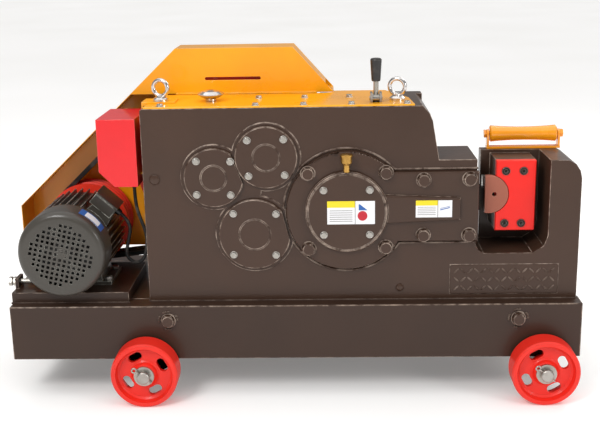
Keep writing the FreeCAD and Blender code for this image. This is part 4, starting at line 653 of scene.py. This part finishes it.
def makeWashers(w):
    onFront = (math.pi / 2, 0, 0)
    big = washerRecipe("bigWashers", finishes["case_paint"], onFront)
    seats = [((low + high) / 2, low.y + w["head"]) for low, high in separateBolts("frame_bolts")]
    cook(big, "bigWashers", [(c.x, y, c.z) for c, y in seats], [], "root", "case_paint", **w["case"])
    frontSeats, topSeats = [], []
    for low, high in separateBolts("cover_bolts"):
        centre = (low + high) / 2
        if high.y - low.y > high.z - low.z:
            frontSeats.append((centre.x, low.y + w["smallHead"], centre.z))
        else:
            topSeats.append((centre.x, centre.y, high.z - w["smallHead"]))
    front = washerRecipe("frontWashers", finishes["zinc"], onFront)
    top = washerRecipe("topWashers", finishes["zinc"], (0, 0, 0))
    cook(front, "coverWashers", frontSeats, [], "root", "zinc", **w["small"])
    cook(top, "roofWashers", topSeats, [], "root", "zinc", **w["small"])


makeWashers(washers)


def arc(centre, radius, first, last, count, y):
    turns = [math.radians(first + (last - first) * k / (count - 1)) for k in range(count)]
    return [(centre[0] + radius * math.cos(t), y, centre[1] + radius * math.sin(t)) for t in turns]


rims = {"line": {"Thick": 2.6 * mm, "LitAndWorn": 0.55}, "radius": 139 * mm, "face": -163.4 * mm,
        "top": 518 * mm, "low": 351 * mm, "end": 421 * mm, "turns": 48}


def rimRecipe(finish):        # a smooth bead drawn along each line of points
    r = Recipe("rimBead", {"Thick": 2.6 * mm, "LitAndWorn": 0.5})
    line = r.make("GeometryNodeMeshToCurve", {}, {"Mesh": r.given("Geometry")})
    section = r.make("GeometryNodeCurvePrimitiveCircle", {}, {"Resolution": 10, "Radius": r.given("Thick")})
    bead = r.make("GeometryNodeCurveToMesh", {}, {"Curve": line, "Profile Curve": section, "Fill Caps": True})
    return r.serve(bead, finish)


def makeRim(w):
    crank = next(joint["pos_m"] for joint in frame["joints"] if joint["name"] == "crank_turn")
    up = math.degrees(math.asin((w["top"] - crank[2]) / w["radius"]))
    down = math.degrees(math.asin((w["low"] - crank[2]) / w["radius"]))
    points = arc((crank[0], crank[2]), w["radius"], up, 360 + down, w["turns"], w["face"])
    points = [(w["end"], w["face"], w["top"])] + points + [(w["end"], w["face"], w["low"])]
    edges = [(k, k + 1) for k in range(len(points) - 1)]
    cook(rimRecipe(finishes["case_paint"]), "guideRim", points, edges, "root", "case_paint", **w["line"])


makeRim(rims)

welds = {"caseFront": -163 * mm, "tackRadius": 21 * mm, "tackTurn": 16,
         "tacksAt": (20, 100, 170, 265), "tackPoints": 4,
         "tack": {"Bead": 3.0 * mm, "Step": 2.2 * mm, "Uneven": 0.3, "Seed": 7},
         "seam": {"Bead": 2.2 * mm, "Step": 2.6 * mm, "Uneven": 0.2, "Seed": 3}}


def makeWelds(w):
    recipe = beadRecipe(finishes["base_paint"])
    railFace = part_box("base_frame")[0][1]
    points, edges = [], []
    for low, high in separateBolts("frame_bolts"):
        if low.y > railFace:
            continue
        centre = (low + high) / 2
        for middleTurn in w["tacksAt"]:
            first = len(points)
            points += arc((centre.x, centre.z), w["tackRadius"], middleTurn - w["tackTurn"],
                          middleTurn + w["tackTurn"], w["tackPoints"], railFace)
            edges += [(k, k + 1) for k in range(first, len(points) - 1)]
    cook(recipe, "railTacks", points, edges, "root", "base_paint", **w["tack"])
    caseLow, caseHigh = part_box("main_casting")
    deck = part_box("base_frame")[1][2]
    front = w["caseFront"]
    cook(recipe, "caseSeam", [(caseLow[0], front, deck), (caseHigh[0], front, deck)], [(0, 1)],
         "root", "base_paint", **w["seam"])
    motorLow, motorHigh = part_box("motor_base")
    cook(recipe, "motorSeam", [(motorLow[0], motorLow[1], deck), (motorHigh[0], motorLow[1], deck)], [(0, 1)],
         "root", "base_paint", **w["seam"])


makeWelds(welds)

panel = {"left": 0.365, "right": 0.605, "low": 0.230, "high": 0.298, "face": -0.165, "margin": 14 * mm}


def makePanel(p):
    wide, tall = p["right"] - p["left"] - 2 * p["margin"], p["high"] - p["low"] - 2 * p["margin"]
    lozenges = cook(lozengeRecipe(finishes["case_paint"]), "panelLozenges", [(0, 0, 0)], [],
                    "root", "case_paint", Width=wide, Height=tall)
    centre = Vector(((p["left"] + p["right"]) / 2, p["face"], (p["low"] + p["high"]) / 2))
    lozenges.data.transform(Matrix.Translation(centre))


makePanel(panel)
print("washers, welds and the panel are on")


# turned plugs
def lathe(name, profile, centre, sides):        # (radius, how far out) turned about a line along Y
    work = bmesh.new()
    rings = []
    for radius, out in profile:
        if radius == 0:
            rings.append([work.verts.new((centre[0], centre[1] - out, centre[2]))])
            continue
        turns = [2 * math.pi * k / sides for k in range(sides)]
        rings.append([work.verts.new((centre[0] + radius * math.cos(t), centre[1] - out,
                                      centre[2] + radius * math.sin(t))) for t in turns])
    for inner, outer in zip(rings, rings[1:]):
        for k in range(sides):
            following = (k + 1) % sides
            corners = [outer[k], outer[following]]
            corners += [inner[0]] if len(inner) == 1 else [inner[following], inner[k]]
            work.faces.new(corners)
    work.faces.new(rings[-1])
    bmesh.ops.recalc_face_normals(work, faces=work.faces)
    mesh = bpy.data.meshes.new(name)
    work.to_mesh(mesh)
    work.free()
    smooth(mesh, edgeLimits["plug"])
    mesh.materials.append(finishes["case_paint"])
    join(placed(name, mesh), "root")


plugs = {"oilPlug": ((-0.287, -0.163, 0.500), 11.5 * mm), "drainPlug": ((0.253, -0.163, 0.246), 8.5 * mm)}
plugProfile = [(0, 4.6 * mm), (0.5, 4.4 * mm), (0.84, 3.4 * mm), (0.94, 2.0 * mm), (1, 1.6 * mm),
               (1.06, 0.4 * mm), (1.06, -1 * mm)]        # share of the radius, how far out
plugSides = 40
for name, (centre, radius) in plugs.items():
    lathe(name, [(radius * share, out) for share, out in plugProfile], centre, plugSides)


# labels, without any lettering
scuffed = {"patch": 5 * mm, "colour": (150, 140, 130), "rubbed": 0.35, "rough": 0.32, "roughened": 0.3,
           "ripple": 6 * mm, "depth": 0.05 * mm}


def labelFinish(name, paint):        # paint(f, u, v) gives the colour over the label
    f = Finish(name)
    across = f.make("ShaderNodeUVMap")
    parts = f.tree.nodes.new("ShaderNodeSeparateXYZ")
    f.tree.links.new(across.socket, parts.inputs[0])
    u, v = Field(f, parts.outputs[0]), Field(f, parts.outputs[1])
    scuffs = f.noise(scuffed["patch"], 4, 0.6).spread(0.62, 0.80)
    colour = f.mix(scuffs * scuffed["rubbed"], paint(f, u, v), tone(*scuffed["colour"]))
    return f.surface(Base_Color=colour, Roughness=scuffs * scuffed["roughened"] + scuffed["rough"],
                     Normal=f.bump(f.noise(scuffed["ripple"], 2), scuffed["depth"]))


inks = {"paper": tone(236, 236, 238), "yellow": tone(238, 214, 26), "grey": tone(120, 118, 116),
        "red": tone(190, 24, 44), "blue": tone(40, 96, 168), "rule": tone(70, 66, 64)}


# shares of a label's width and height
crankArt = {"head": 0.72, "fold": 0.58, "ruleEnd": 0.592, "rows": (0.05, 0.53, 0.10, 0.66, 11),
            "disc": (0.74, 0.36), "discSize": 0.045, "aspect": 4.2,
            "wedge": (0.66, 0.60, 0.86), "wedgeSlope": 1.6, "wedgeTip": 0.90}
armArt = {"head": 0.70, "fold": 0.60, "ruleEnd": 0.615, "rows": (0.05, 0.55, 0.08, 0.62, 9),
          "slope": 0.5, "drop": 0.10, "thickBar": (-0.03, 0.03), "thinBar": (0.07, 0.10),
          "bars": (0.67, 0.94)}
stickerArt = {"left": 0.22, "right": 0.80, "low": 0.10, "high": 0.90}
rowInk = (0.30, 0.62)        # from where to where in each row the bar stands


def ruledRows(u, v, left, right, low, high, rows):        # plain grey bars where small print would stand
    bars = (v * rows).fraction().within(*rowInk)
    return bars * u.within(left, right) * v.within(low, high)


def paintPage(f, u, v, art):        # the yellow head, the grey rows and the rule beside them
    colour = f.mix(u.within(0.0, art["fold"]) * (v > art["head"]), inks["paper"], inks["yellow"])
    colour = f.mix(ruledRows(u, v, *art["rows"]), colour, inks["grey"])
    return f.mix(u.within(art["fold"], art["ruleEnd"]), colour, inks["rule"])


def paintCrankLabel(f, u, v):
    art = crankArt
    colour = paintPage(f, u, v, art)
    across, up = u - art["disc"][0], v - art["disc"][1]
    colour = f.mix(across * across * art["aspect"] + up * up < art["discSize"], colour, inks["red"])
    left, low, high = art["wedge"]
    slant = (u - left) * art["wedgeSlope"] + v < art["wedgeTip"]
    return f.mix(v.within(low, high) * (u > left) * slant, colour, inks["blue"])


def paintArmLabel(f, u, v):
    art = armArt
    slanted = v - u * art["slope"] - art["drop"]
    bar = slanted.within(*art["thickBar"]) + slanted.within(*art["thinBar"])
    return f.mix(bar * u.within(*art["bars"]), paintPage(f, u, v, art), inks["blue"])


def paintSticker(f, u, v):
    art = stickerArt
    colour = f.mix(u.within(0.0, art["left"]) + (u > art["right"]), inks["paper"], inks["blue"])
    return f.mix(v.within(0.0, art["low"]) + (v > art["high"]), colour, inks["blue"])


def makeSheet(name, across, up, place, finish):        # place(u, v) puts each corner of a thin sheet
    work = bmesh.new()
    uv = work.loops.layers.uv.new("UVMap")
    grid = [[work.verts.new(place(i / across, j / up)) for j in range(up + 1)] for i in range(across + 1)]
    for i in range(across):
        for j in range(up):
            face = work.faces.new((grid[i][j], grid[i + 1][j], grid[i + 1][j + 1], grid[i][j + 1]))
            for loop, (di, dj) in zip(face.loops, ((0, 0), (1, 0), (1, 1), (0, 1))):
                loop[uv].uv = ((i + di) / across, (j + dj) / up)
    mesh = bpy.data.meshes.new(name)
    work.to_mesh(mesh)
    work.free()
    piece = placed(name, mesh)
    mesh.materials.append(finish)
    skin = piece.modifiers.new("thickness", "SOLIDIFY")
    skin.thickness = labels["thick"]
    skin.offset = 0
    smooth(settled(piece), edgeLimits["label"])
    join(piece, "root")


labels = {"thick": 0.3 * mm, "lift": 0.3 * mm,        # left, right, low, high, face
          "crankLabel": (0.092, 0.196, 0.401, 0.453, -0.189),
          "armLabel": (0.285, 0.364, 0.414, 0.452, -0.186),
          "sticker": {"axis": (-0.496, 0.342), "radius": 98 * mm, "from": 66, "to": 28,
                      "front": -0.186, "rear": -0.150}}


def flatPlace(name):
    left, right, low, high, face = labels[name]
    return lambda u, v: (left + (right - left) * u, face - labels["lift"], low + (high - low) * v)


def stickerPlace(u, v):
    c = labels["sticker"]
    turn = math.radians(c["from"] + (c["to"] - c["from"]) * u)
    reach = c["radius"] + labels["lift"]
    return (c["axis"][0] + reach * math.cos(turn), c["front"] + (c["rear"] - c["front"]) * v,
            c["axis"][1] + reach * math.sin(turn))


for name, paint in (("crankLabel", paintCrankLabel), ("armLabel", paintArmLabel)):
    makeSheet(name, 8, 4, flatPlace(name), labelFinish(name, paint))
makeSheet("motorSticker", 24, 4, stickerPlace, labelFinish("motorSticker", paintSticker))
print("labels are on")
